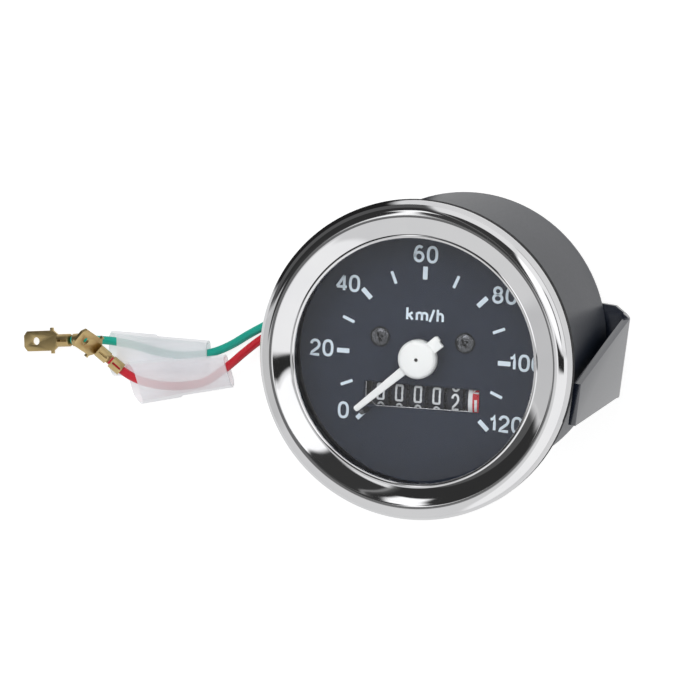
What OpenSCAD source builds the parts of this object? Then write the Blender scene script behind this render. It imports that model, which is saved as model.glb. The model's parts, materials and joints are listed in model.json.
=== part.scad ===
// Moped speedometer with odometer: chrome bezel, steel casing cup, clamp bracket and lamp leads.
// X runs to the right on the dial, Y up the dial, Z out of the dial; z = 0 is the end of the cable spigot.

/* [Casing] */
// Outside diameter of the casing cup
casing_d = 60; // [59:0.2:64]
// Length from the back face to the rim
casing_len = 44.6; // [44.2:0.2:52]
// Sheet thickness of the casing
casing_wall = 0.9; // [0.7:0.1:1.2]
// Outside radius of the rounded back edge
back_round = 3; // [2:0.5:4]
// How far the rim is flared past the casing
rim_flare = 1.4; // [1:0.1:2]

/* [Bezel and glass] */
// Sheet thickness of the bezel
bezel_sheet = 0.5; // [0.4:0.1:0.6]
// Distance from the outside of the casing in to the clear opening
sight_in = 5.5; // [5:0.25:7]
// Diameter of the rolled bead on the lip
bead_d = 1.1; // [0.8:0.1:1.3]
// Width of the inner cone between the bead and the ridge
cone_w = 2.5; // [1.8:0.1:3]
// Height of the ridge over the casing rim
ridge_h = 2.4; // [2:0.1:3]
// Radius of the rounded shoulder outside the ridge
shoulder_r = 2.7; // [1.5:0.1:2.8]
// Thickness of the glass
lens_t = 1.5; // [1:0.1:2]
// Thickness of the rubber panel gasket
gasket_t = 1.4; // [1:0.1:2.5]

/* [Dial] */
// Thickness of the dial sheet
dial_t = 0.8; // [0.5:0.1:1]
// Distance from the dial to the glass
spacer_h = 5.2; // [4.9:0.1:6]
// Distance from the outside of the casing in to the spacer ring's bore
spacer_in = 4.4; // [3.6:0.1:4.7]
// Width of the odometer window
window_w = 23.6; // [22:0.2:24]
// Height of the odometer window
window_h = 4.6; // [4:0.2:6]
// Sideways place of the window centre
window_x = 0.2; // [-0.4:0.1:0.8]
// Distance of each dial screw from the needle axis, sideways
dial_screw_x = 8.8; // [8.6:0.1:10]
// Height of the dial screws over the needle axis
dial_screw_y = 3.5; // [2.5:0.5:5]

/* [Needle] */
// Length from the axis to the needle tip
needle_len = 16.9; // [14:0.1:18]
// Length from the axis to the end of the tail
tail_len = 5.9; // [5.2:0.1:6.4]
// Diameter of the needle boss
boss_d = 8.2; // [6:0.2:9]
// Direction of the resting needle, counted from X
needle_rest = 221.8; // [215:0.2:226]
// Gap between the needle boss and the glass
needle_gap = 0.6; // [0.4:0.1:0.9]

/* [Odometer] */
// Outside radius of the number drums
drum_r = 6.2; // [5.8:0.1:6.3]
// Distance between neighbouring drums
drum_pitch = 3.9; // [3.7:0.05:3.9]
// Sideways place of the middle of the six drums
drums_x = 1; // [0.6:0.1:1]
// Distance of the drum axis below the needle axis
drums_y = 8.2; // [8.2:0.1:8.8]
// Clearance between the drums and the dial sheet
drum_gap = 0.6; // [0.4:0.1:0.8]

/* [Movement] */
// Thickness of the base plate
base_t = 3; // [2.5:0.1:3]
// Thickness of the bridge plate
bridge_t = 1.5; // [1.2:0.1:1.5]
// Radius of both movement plates
plate_r = 25; // [24.6:0.2:26]
// Height of the gear centres over the base plate
gear_rise = 4.6; // [4.4:0.1:4.8]
// Radius of the magnet
magnet_r = 9; // [8:0.1:9.2]
// Thickness of the magnet
magnet_t = 4; // [3:0.1:4]
// Gap between the magnet and the speed cup
air_gap = 0.5; // [0.4:0.05:0.6]

/* [Cable connection] */
// Outside radius of the spigot for the cable nut
spigot_r = 6; // [5.6:0.1:6.4]
// Length of the spigot behind the casing
spigot_len = 14.3; // [14.3:0.1:16]
// Radius of the bore for the cable's ferrule
ferrule_r = 3.3; // [3.3:0.05:3.5]
// Depth of that bore
ferrule_len = 5; // [4.6:0.1:6]
// Radius of the drive shaft
shaft_r = 2.3; // [2.2:0.05:2.4]
// Width across the square socket for the inner cable
socket_w = 2.7; // [2.5:0.05:2.8]

/* [Bracket] */
// Sheet thickness of the bracket
bracket_t = 1.5; // [1.2:0.1:2]
// Angle of the bracket against the dial
bracket_turn = -5; // [-8:1:0]
// Gap between each leg and the casing
leg_gap = 2.3; // [1.8:0.1:3]
// How far each leg leans in at its end
leg_lean = 0.9; // [0:0.1:1]
// Width of the back plate
plate_w = 21; // [20:0.5:22]
// Width of a leg at the back
leg_w = 16.6; // [14:0.2:18]
// Width of a leg at its front end
leg_tip_w = 8.2; // [6:0.2:10]
// Room for the panel between gasket and leg ends
panel_gap = 2.8; // [1:0.1:6]
// Diameter of the two studs
stud_d = 5; // [4:0.5:5]
// Distance between the two studs
stud_pcd = 40; // [39:0.5:42]

/* [Lamp] */
// Place of the lamp to the left of the axis
lamp_x = -6; // [-7:0.5:-5]
// Place of the lamp above the axis
lamp_y = 20; // [19.8:0.1:20.2]
// Radius of the lamp hole in the casing
lamp_hole_r = 5.5; // [5.3:0.1:5.6]

/* [Leads] */
// Diameter of the insulated wires
wire_d = 1.9; // [1.6:0.1:2]
// Width of the flat terminal tab
tab_w = 4.6; // [4:0.2:5]
// Sheet thickness of the terminals
tab_t = 0.7; // [0.5:0.1:0.8]
// Length of an insulating sleeve
sleeve_len = 24.5; // [24:0.5:27]

/* [Hidden] */
$fn = 96;
eps = 0.01;

// Clearances: a shaft in its bearing, pieces laid beside each other, a screw in its hole
run_gap = 0.05;
lay_gap = 0.1;
hole_gap = 0.15;

// Heights, from the spigot end up to the glass
casing_r = casing_d / 2;
z_back = spigot_len;
z_floor = z_back + casing_wall;
z_base = z_floor + base_t;
z_gear = z_base + gear_rise;
z_rim = z_back + casing_len;
z_lens_top = z_rim - 0.2;
z_lens = z_lens_top - lens_t;
z_dial = z_lens - spacer_h;
z_dial_back = z_dial - dial_t;
z_drum = z_dial_back - drum_gap - drum_r;
z_crimp = z_rim - casing_wall - bezel_sheet;
z_gasket = z_crimp - gasket_t;

// Bezel and glass
bezel_r = casing_r + rim_flare + lay_gap + bezel_sheet;
bead_r = bead_d / 2;
sight_r = casing_r - sight_in;
spacer_r = casing_r - spacer_in;
z_bead = z_lens_top + run_gap + bead_r;
ridge_r = sight_r + bead_d + cone_w;
z_ridge = z_rim + ridge_h;
seal_w = 1;
cavity_r = casing_r - casing_wall - lay_gap;
lens_r = cavity_r - seal_w;
dial_r = cavity_r - 0.2;

// Worm gears: each single-start worm turns a ten-tooth wheel
worm_teeth = 10;
worm_r = 2.7;
worm_e = 0.45;
wheel_r = 3;
worm2_r = 3.2;
worm2_e = 0.55;
wheel2_r = 4.3;
worm3_r = 2;
worm3_e = 0.42;
wheel_w = 1.6;
wheel_addendum = 0.3;
wheel_dedendum = 0.6;
worm_len = 6;
worm2_len = 6.5;
worm3_len = 5;
tooth_w = 0.95;
tooth2_w = 1.45;
cross_y = -worm_r - wheel_r;
cross_shaft_r = 1.2;
cross_shaft_x = -5;
drum_n = 6;
cheek_t = 0.6;
cheek_mid = drums_x + drum_n / 2 * drum_pitch + 0.3;
wheel_hub_w = 1.6;
hub_gap = 0.8;
upright_x = cheek_mid + cheek_t + hub_gap + wheel_hub_w + wheel_w / 2;
cross_shaft_len = upright_x - cross_shaft_x + 6.2;
upright_y = -drums_y - worm3_r - wheel_r;
upright_r = 1;

// Speed cup and needle spindle
neck_r = 1.5;
z_magnet = z_gear + wheel_r + wheel_addendum + 1.1;
z_magnet_top = z_magnet + magnet_t;
cup_sheet = 0.4;
cup_r = magnet_r + air_gap + cup_sheet;
z_cup_top = z_magnet_top + air_gap + cup_sheet;
z_bridge = z_cup_top + 1.7;
z_bridge_top = z_bridge + bridge_t;
spindle_r = 0.6;
collet_r = 1.5;
z_spring = z_bridge_top + 1.2;
spring_h = 0.6;
spring_r = 6.8;
lever_post_r = 0.5;

// Needle heights
z_boss_top = z_lens - needle_gap;
boss_h = 2.2;
z_blade = z_boss_top - 1.6;
blade_t = 0.7;
blade_root_w = 2;
blade_tip_w = 1.4;
stop_r = 15.9;
stop_pin_r = 0.5;
stop_turn = asin((blade_root_w / 2 + stop_pin_r - 0.2) / stop_r);

// Odometer: six drums, five carry pinions on a shaft of their own
rim_w = 3;
side_w = (drum_pitch - rim_w) / 2 - 0.03;
ring_teeth = 20;
ring_r = 5.45;
disc_r = 5.6;
pinion_teeth = 8;
pinion_pitch_r = ring_r * pinion_teeth / ring_teeth;
pinion_dir = 200;
pinion_dist = ring_r + pinion_pitch_r;
pinion_y = -drums_y + pinion_dist * cos(pinion_dir);
pinion_z = z_drum + pinion_dist * sin(pinion_dir);
odo_shaft_r = 1;
pinion_shaft_r = 0.6;
cheek_left = drums_x - drum_n / 2 * drum_pitch - 0.4 - cheek_t;
cheek_right = upright_x + worm3_r + worm3_e + 0.8;

// Pillars between the plates, posts under the dial
pillar_r = 2.2;
pillars_xy = [[-17.5, 8], [17.5, 8], [-6, -19.5]];
screw_r = 1;
post_r = 1.8;
lamp_notch_r = 7.2;

// Bracket, studs and cable connection
leg_out = casing_r + leg_gap + bracket_t;
z_leg_end = z_gasket - panel_gap;
flange_r = 8;
flange_t = 2.3;
neck_out_r = 6.8;
bush_r = 3.6;
bush_flange_r = 5;
bush_len = 9;
stud_r = stud_d / 2;
nut_h = 4;
nut_af = 8;
washer_t = 1;
washer_r = 5;

// Lamp and wire routes: round numbers chosen by hand, from the holder to the terminal
holder_r = 6.6;
holder_h = 6;
contact_r = 4.2;
contact_len = 13;
bulb_r = 3.4;
green_route = [[-6.5, 21, 9.9], [-6.5, 21, 6.6], [-7, 20.7, 4.7], [-8.3, 20, 2.8], [-10.5, 18.8, 1.5],
    [-13.5, 17.1, 0.9], [-19, 13.9, 0.9], [-25, 10.4, 0.9], [-31, 6.9, 0.9], [-37, 3.4, 0.9],
    [-43, -0.1, 0.9], [-49, -3.6, 0.9], [-54, -6.6, 0.9], [-58.6, -9.6, 1.2], [-62, -11.2, 1.75],
    [-66, -12.2, 1.8], [-70, -12.6, 1.8], [-75, -12.3, 1.9], [-80, -11.3, 2.1], [-85, -10.6, 2.5],
    [-89, -10.5, 2.7], [-92.6, -10.7, 2.7], [-96, -11.1, 2.5]];
red_route = [[-5.5, 19, 9.9], [-5.5, 19, 6.6], [-6, 18.7, 4.7], [-7.3, 18, 2.8], [-9.5, 16.8, 1.5],
    [-12.5, 15.1, 0.9], [-18, 11.9, 0.9], [-24, 8.45, 0.9], [-30, 5.05, 0.9], [-36, 1.6, 0.9],
    [-42, -1.85, 0.9], [-47, -4.8, 1.1], [-50.8, -7.4, 2.2], [-53.9, -10.2, 4.2], [-56.6, -12.9, 5.6],
    [-59.3, -15.1, 5.1], [-62.7, -17.5, 4.6], [-67, -18.8, 4.5], [-71.5, -19.3, 4.7], [-75.7, -19, 5.1],
    [-79.4, -18, 5.6], [-82.5, -16.3, 6], [-85, -14.2, 6.7]];
// Roll and upward bend of each terminal; place of each sleeve's rear end and its roll, pitch and heading
green_tip = [5, 0];
red_tip = [16, 52];
green_sleeve_at = [-63.3, -12.65, 0];
green_sleeve_turn = [0, 0, 181.8];
red_sleeve_at = [-57.3, -14.1, 3.4];
red_sleeve_turn = [-18, 0, 191.3];

// Unit vector, and a polyline moved sideways by t, for sheet-metal profiles
function unit(v) = v / norm(v);
function side(a, b) = let(d = unit(b - a)) [-d[1], d[0]];
function moved(p, t) = [for (i = [0:len(p) - 1])
    let(n1 = side(p[max(i - 1, 0)], p[max(i, 1)]),
        n2 = side(p[min(i, len(p) - 2)], p[min(i + 1, len(p) - 1)]))
    p[i] + t * (n1 + n2) / (1 + n1 * n2)];
function reversed(p) = [for (i = [len(p) - 1:-1:0]) p[i]];
function arc(c, r, a, b, n = 8) = [for (i = [0:n]) c + r * [cos(a + (b - a) * i / n), sin(a + (b - a) * i / n)]];
// Faces between rows of n points each; a looped skin also joins its last row to its first
function walls(rows, n, looped) = [for (i = [0:rows - (looped ? 1 : 2)])
    for (j = [0:n - 1])
        let(a = i * n, b = (i + 1) % rows * n, k = (j + 1) % n)
        each [[a + j, b + j, a + k], [a + k, b + j, b + k]]];
function drum_x(k) = drums_x + (k - (drum_n - 1) / 2) * drum_pitch;

module sheet(p, t) {
    polygon(concat(p, reversed(moved(p, t))));
}

module ring(r_out, r_in, h) {
    difference() {
        cylinder(r = r_out, h = h);
        translate([0, 0, -1])
            cylinder(r = r_in, h = h + 2);
    }
}

// Turns a shape drawn about Z so that its axis lies along X and its own X points along Y
module along_x() {
    rotate([90, 0, 90])
        children();
}

module toothed(n, root_r, tip_r, root_w, tip_w) {
    circle(r = root_r, $fn = 48);
    for (i = [0:n - 1])
        rotate(i * 360 / n)
            polygon([[root_r - 0.4, -root_w / 2], [root_r, -root_w / 2], [tip_r, -tip_w / 2],
                [tip_r, tip_w / 2], [root_r, root_w / 2], [root_r - 0.4, root_w / 2]]);
}

// Single-start worm: a round bar set off centre and twisted, its hollow facing away from phase at mid length
module worm(r, e, pitch, length, bore_r, phase) {
    turns = length / pitch;
    difference() {
        translate([0, 0, -length / 2])
            linear_extrude(height = length, twist = -360 * turns, slices = ceil(9 * turns), $fn = 16)
                rotate(phase - 180 * turns)
                    translate([e, 0])
                        circle(r = r);
        cylinder(r = bore_r, h = length + 2, center = true);
    }
}

module worm_wheel(pitch_r, width, bore_r, tooth_w) {
    difference() {
        linear_extrude(height = width, center = true)
            toothed(worm_teeth, pitch_r - wheel_dedendum, pitch_r + wheel_addendum, tooth_w, tooth_w * 0.45);
        cylinder(r = bore_r, h = width + 1, center = true);
    }
}

module lamp_notch() {
    translate([lamp_x, lamp_y, 0])
        circle(r = lamp_notch_r);
}

module at_studs() {
    rotate(bracket_turn)
        for (s = [-1, 1])
            translate([s * stud_pcd / 2, 0, 0])
                children();
}

module at_dial_screws() {
    for (s = [-1, 1])
        translate([s * dial_screw_x, dial_screw_y, 0])
            children();
}

module at_pillars() {
    for (p = pillars_xy)
        translate(p)
            children();
}

module bezel() {
    lip = [sight_r + bead_r, z_bead];
    path = concat(
        [[bezel_r - bezel_sheet - 1.3, z_crimp], [bezel_r - 0.3, z_crimp], [bezel_r, z_crimp + 0.3]],
        arc([bezel_r - shoulder_r, z_ridge - shoulder_r], shoulder_r, 0, 90, 10),
        arc([ridge_r + 0.8, z_ridge - 1.2], 1.2, 90, 118, 4),
        [lip + [0.35, bead_r - 0.1]]);
    color("silver")
        rotate_extrude() {
            sheet(path, bezel_sheet);
            translate(lip)
                circle(r = bead_r, $fn = 32);
        }
}

module lens() {
    color([0.9, 0.95, 0.95, 0.4])
        translate([0, 0, z_lens])
            cylinder(r = lens_r, h = lens_t);
}

module lens_seal() {
    lip_in = sight_r + bead_d + 0.3;
    color("black")
        rotate_extrude()
            polygon([[lens_r, z_lens], [cavity_r, z_lens], [cavity_r, z_rim + 0.3],
                [lip_in, z_rim + 0.3], [lip_in, z_lens_top], [lens_r, z_lens_top]]);
}

module spacer_ring() {
    wall = 1;
    color("black")
        rotate_extrude()
            polygon([[spacer_r, z_dial], [dial_r, z_dial], [dial_r, z_dial + 0.8],
                [spacer_r + wall, z_dial + 0.8], [spacer_r + wall, z_lens - 0.8],
                [dial_r, z_lens - 0.8], [dial_r, z_lens], [spacer_r, z_lens]]);
}

module panel_gasket() {
    color("dimgray")
        translate([0, 0, z_gasket])
            ring(bezel_r - 0.1, casing_r, gasket_t);
}

module casing() {
    path = concat(
        [[0.1, z_back]],
        arc([casing_r - back_round, z_back + back_round], back_round, -90, 0),
        [[casing_r, z_rim - casing_wall], [casing_r + rim_flare, z_rim - casing_wall]]);
    color([0.2, 0.2, 0.22])
        difference() {
            rotate_extrude()
                sheet(path, casing_wall);
            translate([0, 0, z_back - 1])
                cylinder(r = neck_out_r, h = casing_wall + 2);
            at_studs()
                translate([0, 0, z_back - 1])
                    cylinder(r = stud_r + hole_gap, h = casing_wall + 2);
            translate([lamp_x, lamp_y, z_back - 1])
                cylinder(r = lamp_hole_r, h = casing_wall + 2);
        }
}

// The window edges are chamfered, so the drums look sunk into the dial
module dial() {
    chamfer = 0.35;
    color([0.25, 0.26, 0.29])
        difference() {
            translate([0, 0, z_dial_back])
                cylinder(r = dial_r, h = dial_t);
            translate([window_x - window_w / 2, -drums_y - window_h / 2, z_dial_back - 1])
                cube([window_w, window_h, dial_t + 2]);
            for (s = [-1, 1]) {
                translate([window_x, -drums_y + s * window_h / 2, z_dial])
                    rotate([45, 0, 0])
                        cube([window_w, chamfer * sqrt(2), chamfer * sqrt(2)], center = true);
                translate([window_x + s * window_w / 2, -drums_y, z_dial])
                    rotate([0, 45, 0])
                        cube([chamfer * sqrt(2), window_h, chamfer * sqrt(2)], center = true);
            }
            translate([0, 0, z_dial_back - 1])
                cylinder(r = collet_r, h = dial_t + 2);
            at_dial_screws()
                translate([0, 0, z_dial_back - 1])
                    cylinder(r = screw_r + hole_gap, h = dial_t + 2);
            rotate(needle_rest + stop_turn)
                translate([stop_r, 0, z_dial_back - 1])
                    cylinder(r = stop_pin_r, h = dial_t + 2);
        }
}

module dial_screws() {
    head_r = 2.05;
    head_h = 0.9;
    shank = 3;
    color([0.25, 0.25, 0.22])
        at_dial_screws()
            difference() {
                union() {
                    translate([0, 0, z_dial_back - shank])
                        cylinder(r = screw_r, h = dial_t + shank + eps);
                    translate([0, 0, z_dial])
                        cylinder(r = head_r, h = head_h - 0.3);
                    translate([0, 0, z_dial + head_h - 0.3])
                        cylinder(r1 = head_r, r2 = head_r - 0.5, h = 0.3);
                }
                for (a = [20, 110])
                    rotate(a)
                        translate([0, 0, z_dial + head_h])
                            cube([2.2, 0.5, 1], center = true);
            }
}

module dial_posts() {
    color("goldenrod")
        at_dial_screws()
            difference() {
                translate([0, 0, z_bridge_top])
                    cylinder(r = post_r, h = z_dial_back - z_bridge_top);
                translate([0, 0, z_dial_back - 3.5])
                    cylinder(r = screw_r, h = 4);
            }
}

module stop_pin() {
    color("dimgray")
        rotate(needle_rest + stop_turn)
            translate([stop_r, 0, z_dial_back])
                cylinder(r = stop_pin_r, h = z_blade + blade_t + 0.3 - z_dial_back, $fn = 32);
}

// Needle in one moulding: blade, counterweight tail with a stepped end, and a boss pressed on the spindle
module pointer() {
    tail_w = 2.6;
    color("white")
        rotate(needle_rest)
            difference() {
                union() {
                    translate([0, 0, z_blade])
                        linear_extrude(height = blade_t)
                            polygon([[0, -blade_root_w / 2], [needle_len - 0.3, -blade_tip_w / 2],
                                [needle_len, -blade_tip_w / 2 + 0.3], [needle_len, blade_tip_w / 2 - 0.3],
                                [needle_len - 0.3, blade_tip_w / 2], [0, blade_root_w / 2]]);
                    translate([0, 0, z_blade])
                        linear_extrude(height = blade_t + 0.3)
                            polygon([[0, -tail_w / 2], [0, tail_w / 2], [-tail_len, tail_w / 2],
                                [-tail_len, 0.2], [-tail_len - 0.3, 0.2], [-tail_len - 0.3, -tail_w / 2]]);
                    translate([0, 0, z_boss_top - boss_h])
                        rotate_extrude()
                            polygon(concat([[0, 0], [boss_d / 2 - 0.2, 0], [boss_d / 2, 0.2]],
                                arc([boss_d / 2 - 0.7, boss_h - 0.7], 0.7, 0, 80, 5), [[0, boss_h]]));
                    translate([0, 0, z_dial + 0.6])
                        cylinder(r = collet_r, h = z_boss_top - boss_h - z_dial - 0.5);
                }
                translate([0, 0, z_dial])
                    cylinder(r = spindle_r, h = z_boss_top - 0.4 - z_dial, $fn = 48);
                translate([0, 0, z_boss_top - 1])
                    cylinder(r = 0.3, h = 2, $fn = 24);
            }
}

module pointer_spindle() {
    z_foot = z_magnet_top - 2.5;
    color("lightgray") {
        translate([0, 0, z_foot])
            cylinder(r = spindle_r, h = z_boss_top - 0.4 - z_foot, $fn = 48);
        translate([0, 0, z_spring - 0.4])
            cylinder(r = collet_r, h = spring_h + 0.8, $fn = 48);
    }
}

// Thin aluminium cup over the magnet, with a hub pressed on the spindle
module speed_cup() {
    color("gainsboro")
        difference() {
            union() {
                translate([0, 0, z_magnet - 0.2])
                    cylinder(r = cup_r, h = z_cup_top - z_magnet + 0.2);
                translate([0, 0, z_cup_top - eps])
                    cylinder(r = 2, h = 1);
            }
            translate([0, 0, z_magnet - 1])
                cylinder(r = cup_r - cup_sheet, h = z_cup_top - cup_sheet - z_magnet + 1);
            translate([0, 0, z_magnet])
                cylinder(r = spindle_r, h = 20, $fn = 48);
        }
}

module hairspring() {
    turns = 3.25;
    steps = 96;
    wire_t = 0.12;
    function spiral(r0) = [for (i = [0:steps])
        let(a = 360 * turns * i / steps, r = r0 + (spring_r - collet_r) * i / steps)
        [r * cos(a), r * sin(a)]];
    color("goldenrod")
        translate([0, 0, z_spring])
            linear_extrude(height = spring_h)
                polygon(concat(spiral(collet_r), reversed(spiral(collet_r + wire_t))));
}

module hairspring_lever() {
    color("goldenrod")
        difference() {
            union() {
                translate([0, 0, z_bridge_top])
                    cylinder(r = 3, h = 0.6);
                translate([-0.9, 0, z_bridge_top])
                    cube([1.8, spring_r + 0.8, 0.6]);
                translate([0, spring_r + lever_post_r + 0.15, z_bridge_top])
                    cylinder(r = lever_post_r, h = z_spring + spring_h - z_bridge_top, $fn = 32);
            }
            translate([0, 0, z_bridge_top - 1])
                cylinder(r = 1.6, h = 3);
        }
}

module magnet() {
    hub_r = 3.2;
    color("gray")
        difference() {
            union() {
                translate([0, 0, z_magnet])
                    cylinder(r = magnet_r, h = magnet_t);
                translate([0, 0, z_magnet - 1.4])
                    cylinder(r = hub_r, h = 1.4 + eps);
            }
            translate([0, 0, z_magnet - 2])
                cylinder(r = neck_r, h = magnet_t + 4);
        }
}

module flux_ring() {
    color("darkgray")
        translate([0, 0, z_magnet - 0.4])
            ring(cup_r + air_gap + 1.2, cup_r + air_gap, z_bridge - z_magnet + 0.4);
}

// Drive shaft: square socket below, thrust collar, worm, and a pivot hole for the needle spindle on top
module drive_shaft() {
    z_foot = ferrule_len + 0.4;
    z_collar = z_base + 0.7 + run_gap;
    pitch = 2 * PI * wheel_r / worm_teeth;
    color("silver")
        difference() {
            union() {
                translate([0, 0, z_foot])
                    cylinder(r = shaft_r, h = z_gear - worm_len / 2 - z_foot);
                translate([0, 0, z_base - bush_len - run_gap - 0.6])
                    cylinder(r = shaft_r + 0.7, h = 0.6);
                translate([0, 0, z_collar])
                    cylinder(r = shaft_r + 0.9, h = 0.6);
                translate([0, 0, z_gear])
                    worm(worm_r, worm_e, pitch, worm_len, 0.5, 90);
                translate([0, 0, z_gear - worm_len / 2 - 0.2])
                    cylinder(r = neck_r, h = z_magnet_top - z_gear + worm_len / 2 - 0.4);
            }
            translate([-socket_w / 2, -socket_w / 2, z_foot - 1])
                cube([socket_w, socket_w, 8]);
            translate([0, 0, z_magnet_top - 3])
                cylinder(r = spindle_r + run_gap, h = 4, $fn = 48);
        }
}

module drive_bush() {
    color("peru")
        difference() {
            union() {
                translate([0, 0, z_base - bush_len])
                    cylinder(r = bush_r, h = bush_len);
                translate([0, 0, z_base])
                    cylinder(r = bush_flange_r, h = 0.7);
            }
            translate([0, 0, z_base - bush_len - 1])
                cylinder(r = shaft_r + run_gap, h = bush_len + 3);
        }
}

module drive_connector() {
    relief = 1.4;
    chamfer = 0.8;
    color("tan")
        difference() {
            rotate_extrude()
                polygon([[0, 0], [spigot_r - chamfer, 0], [spigot_r, chamfer],
                    [spigot_r, z_back - flange_t - relief], [spigot_r - 0.7, z_back - flange_t - relief],
                    [spigot_r - 0.7, z_back - flange_t], [flange_r, z_back - flange_t],
                    [flange_r, z_back], [neck_out_r, z_back], [neck_out_r, z_base], [0, z_base]]);
            translate([0, 0, -1])
                cylinder(r = ferrule_r, h = ferrule_len + 1);
            translate([0, 0, 1])
                cylinder(r = ferrule_r - 0.2, h = z_base);
            translate([0, 0, z_base - bush_len])
                cylinder(r = bush_r, h = bush_len + 1);
        }
}

// Die-cast base plate with the two bearing blocks of the cross shaft
module base_plate() {
    block_w = 1.6;
    block_top = z_gear + cross_shaft_r + 1;
    color("silver")
        difference() {
            union() {
                translate([0, 0, z_floor])
                    linear_extrude(height = base_t)
                        difference() {
                            circle(r = plate_r);
                            lamp_notch();
                        }
                for (x = [cross_shaft_x, cross_shaft_x + cross_shaft_len - block_w - 0.2])
                    translate([x, cross_y - 2, z_base - eps])
                        cube([block_w, 4, block_top - z_base]);
            }
            translate([cross_shaft_x - 1, cross_y, z_gear])
                along_x()
                    cylinder(r = cross_shaft_r + run_gap, h = cross_shaft_len + 2);
            translate([0, 0, z_floor - 1])
                cylinder(r = neck_out_r, h = base_t + 2);
            at_studs()
                translate([0, 0, z_floor - 1])
                    cylinder(r = stud_r, h = base_t + 2);
            translate([upright_x, upright_y, z_base - 1.5])
                cylinder(r = upright_r + run_gap, h = 3);
        }
}

module pillars() {
    color("goldenrod")
        at_pillars()
            difference() {
                translate([0, 0, z_base])
                    cylinder(r = pillar_r, h = z_bridge - z_base);
                translate([0, 0, z_bridge - 4])
                    cylinder(r = screw_r, h = 5);
            }
}

module bridge_plate() {
    color("silver")
        difference() {
            translate([0, 0, z_bridge])
                linear_extrude(height = bridge_t)
                    difference() {
                        circle(r = plate_r);
                        lamp_notch();
                    }
            translate([0, 0, z_bridge - 1])
                cylinder(r = spindle_r + run_gap, h = bridge_t + 2, $fn = 48);
            translate([upright_x, upright_y, z_bridge - 1])
                cylinder(r = upright_r + 0.3, h = bridge_t + 2);
            at_pillars()
                translate([0, 0, z_bridge - 1])
                    cylinder(r = screw_r + hole_gap, h = bridge_t + 2);
        }
}

module bridge_screws() {
    shank = 3.5;
    head_r = 2;
    head_h = 1.2;
    color("gray")
        at_pillars()
            difference() {
                union() {
                    translate([0, 0, z_bridge - shank])
                        cylinder(r = screw_r, h = bridge_t + shank + eps);
                    translate([0, 0, z_bridge_top])
                        cylinder(r = head_r, h = head_h);
                }
                translate([0, 0, z_bridge_top + head_h])
                    cube([5, 0.5, 1], center = true);
            }
}

module cross_shaft() {
    color("lightgray")
        translate([cross_shaft_x, cross_y, z_gear])
            along_x()
                cylinder(r = cross_shaft_r, h = cross_shaft_len);
}

module cross_wheel() {
    color("tan")
        translate([0, cross_y, z_gear])
            along_x()
                worm_wheel(wheel_r, wheel_w, cross_shaft_r, tooth_w);
}

module cross_worm() {
    color("tan")
        translate([upright_x, cross_y, z_gear])
            along_x()
                worm(worm2_r, worm2_e, 2 * PI * wheel2_r / worm_teeth, worm2_len, cross_shaft_r, 0);
}

module upright_shaft() {
    color("lightgray")
        translate([upright_x, upright_y, z_base - 1.4])
            cylinder(r = upright_r, h = z_drum + 4.4 - z_base + 1.4);
}

module upright_wheel() {
    color("tan")
        translate([upright_x, upright_y, z_gear])
            rotate(90)
                worm_wheel(wheel2_r, wheel_w, upright_r, tooth2_w);
}

module upright_worm() {
    color("tan")
        translate([upright_x, upright_y, z_drum])
            worm(worm3_r, worm3_e, 2 * PI * wheel_r / worm_teeth, worm3_len, upright_r, -90);
}

// Folded sheet frame: three cheeks for the drum shaft, the inner two for the pinion shaft as well
module odometer_frame() {
    foot_y = -drums_y - 6.2;
    foot_w = 9;
    cheek_top = z_drum + 3;
    tab_z = z_drum + 3.4;
    color("silver")
        difference() {
            union() {
                translate([cheek_left, foot_y, z_bridge_top])
                    cube([cheek_right + cheek_t - cheek_left, foot_w, cheek_t]);
                for (x = [cheek_left, cheek_mid])
                    translate([x, pinion_y - 2, z_bridge_top])
                        cube([cheek_t, -drums_y + 3.5 - pinion_y + 2, cheek_top - z_bridge_top]);
                translate([cheek_right, upright_y - 2, z_bridge_top])
                    cube([cheek_t, -drums_y + 3.5 - upright_y + 2, tab_z + cheek_t - z_bridge_top]);
                translate([upright_x - 2, upright_y - 2, tab_z])
                    cube([cheek_right - upright_x + 2 + eps, 3.6, cheek_t]);
            }
            translate([cheek_left - 1, -drums_y, z_drum])
                along_x()
                    cylinder(r = odo_shaft_r + run_gap, h = 40);
            translate([cheek_left - 1, pinion_y, pinion_z])
                along_x()
                    cylinder(r = pinion_shaft_r, h = cheek_mid - cheek_left + cheek_t + 2, $fn = 48);
            translate([upright_x, upright_y, z_bridge_top - 1])
                cylinder(r = upright_r + 0.3, h = 3);
            translate([upright_x, upright_y, tab_z - 1])
                cylinder(r = upright_r + run_gap, h = 3);
        }
}

module odometer_wheel() {
    color("tan")
        translate([upright_x, -drums_y, z_drum])
            along_x()
                difference() {
                    union() {
                        rotate(180)
                            worm_wheel(wheel_r, wheel_w, odo_shaft_r, tooth_w);
                        translate([0, 0, -wheel_w / 2 - wheel_hub_w])
                            cylinder(r = 1.8, h = wheel_hub_w + eps);
                    }
                    cylinder(r = odo_shaft_r, h = 10, center = true);
                }
}

module odometer_shaft() {
    color("lightgray")
        translate([cheek_left - 0.3, -drums_y, z_drum])
            along_x()
                cylinder(r = odo_shaft_r, h = cheek_right + 2 * cheek_t - cheek_left);
}

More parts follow.
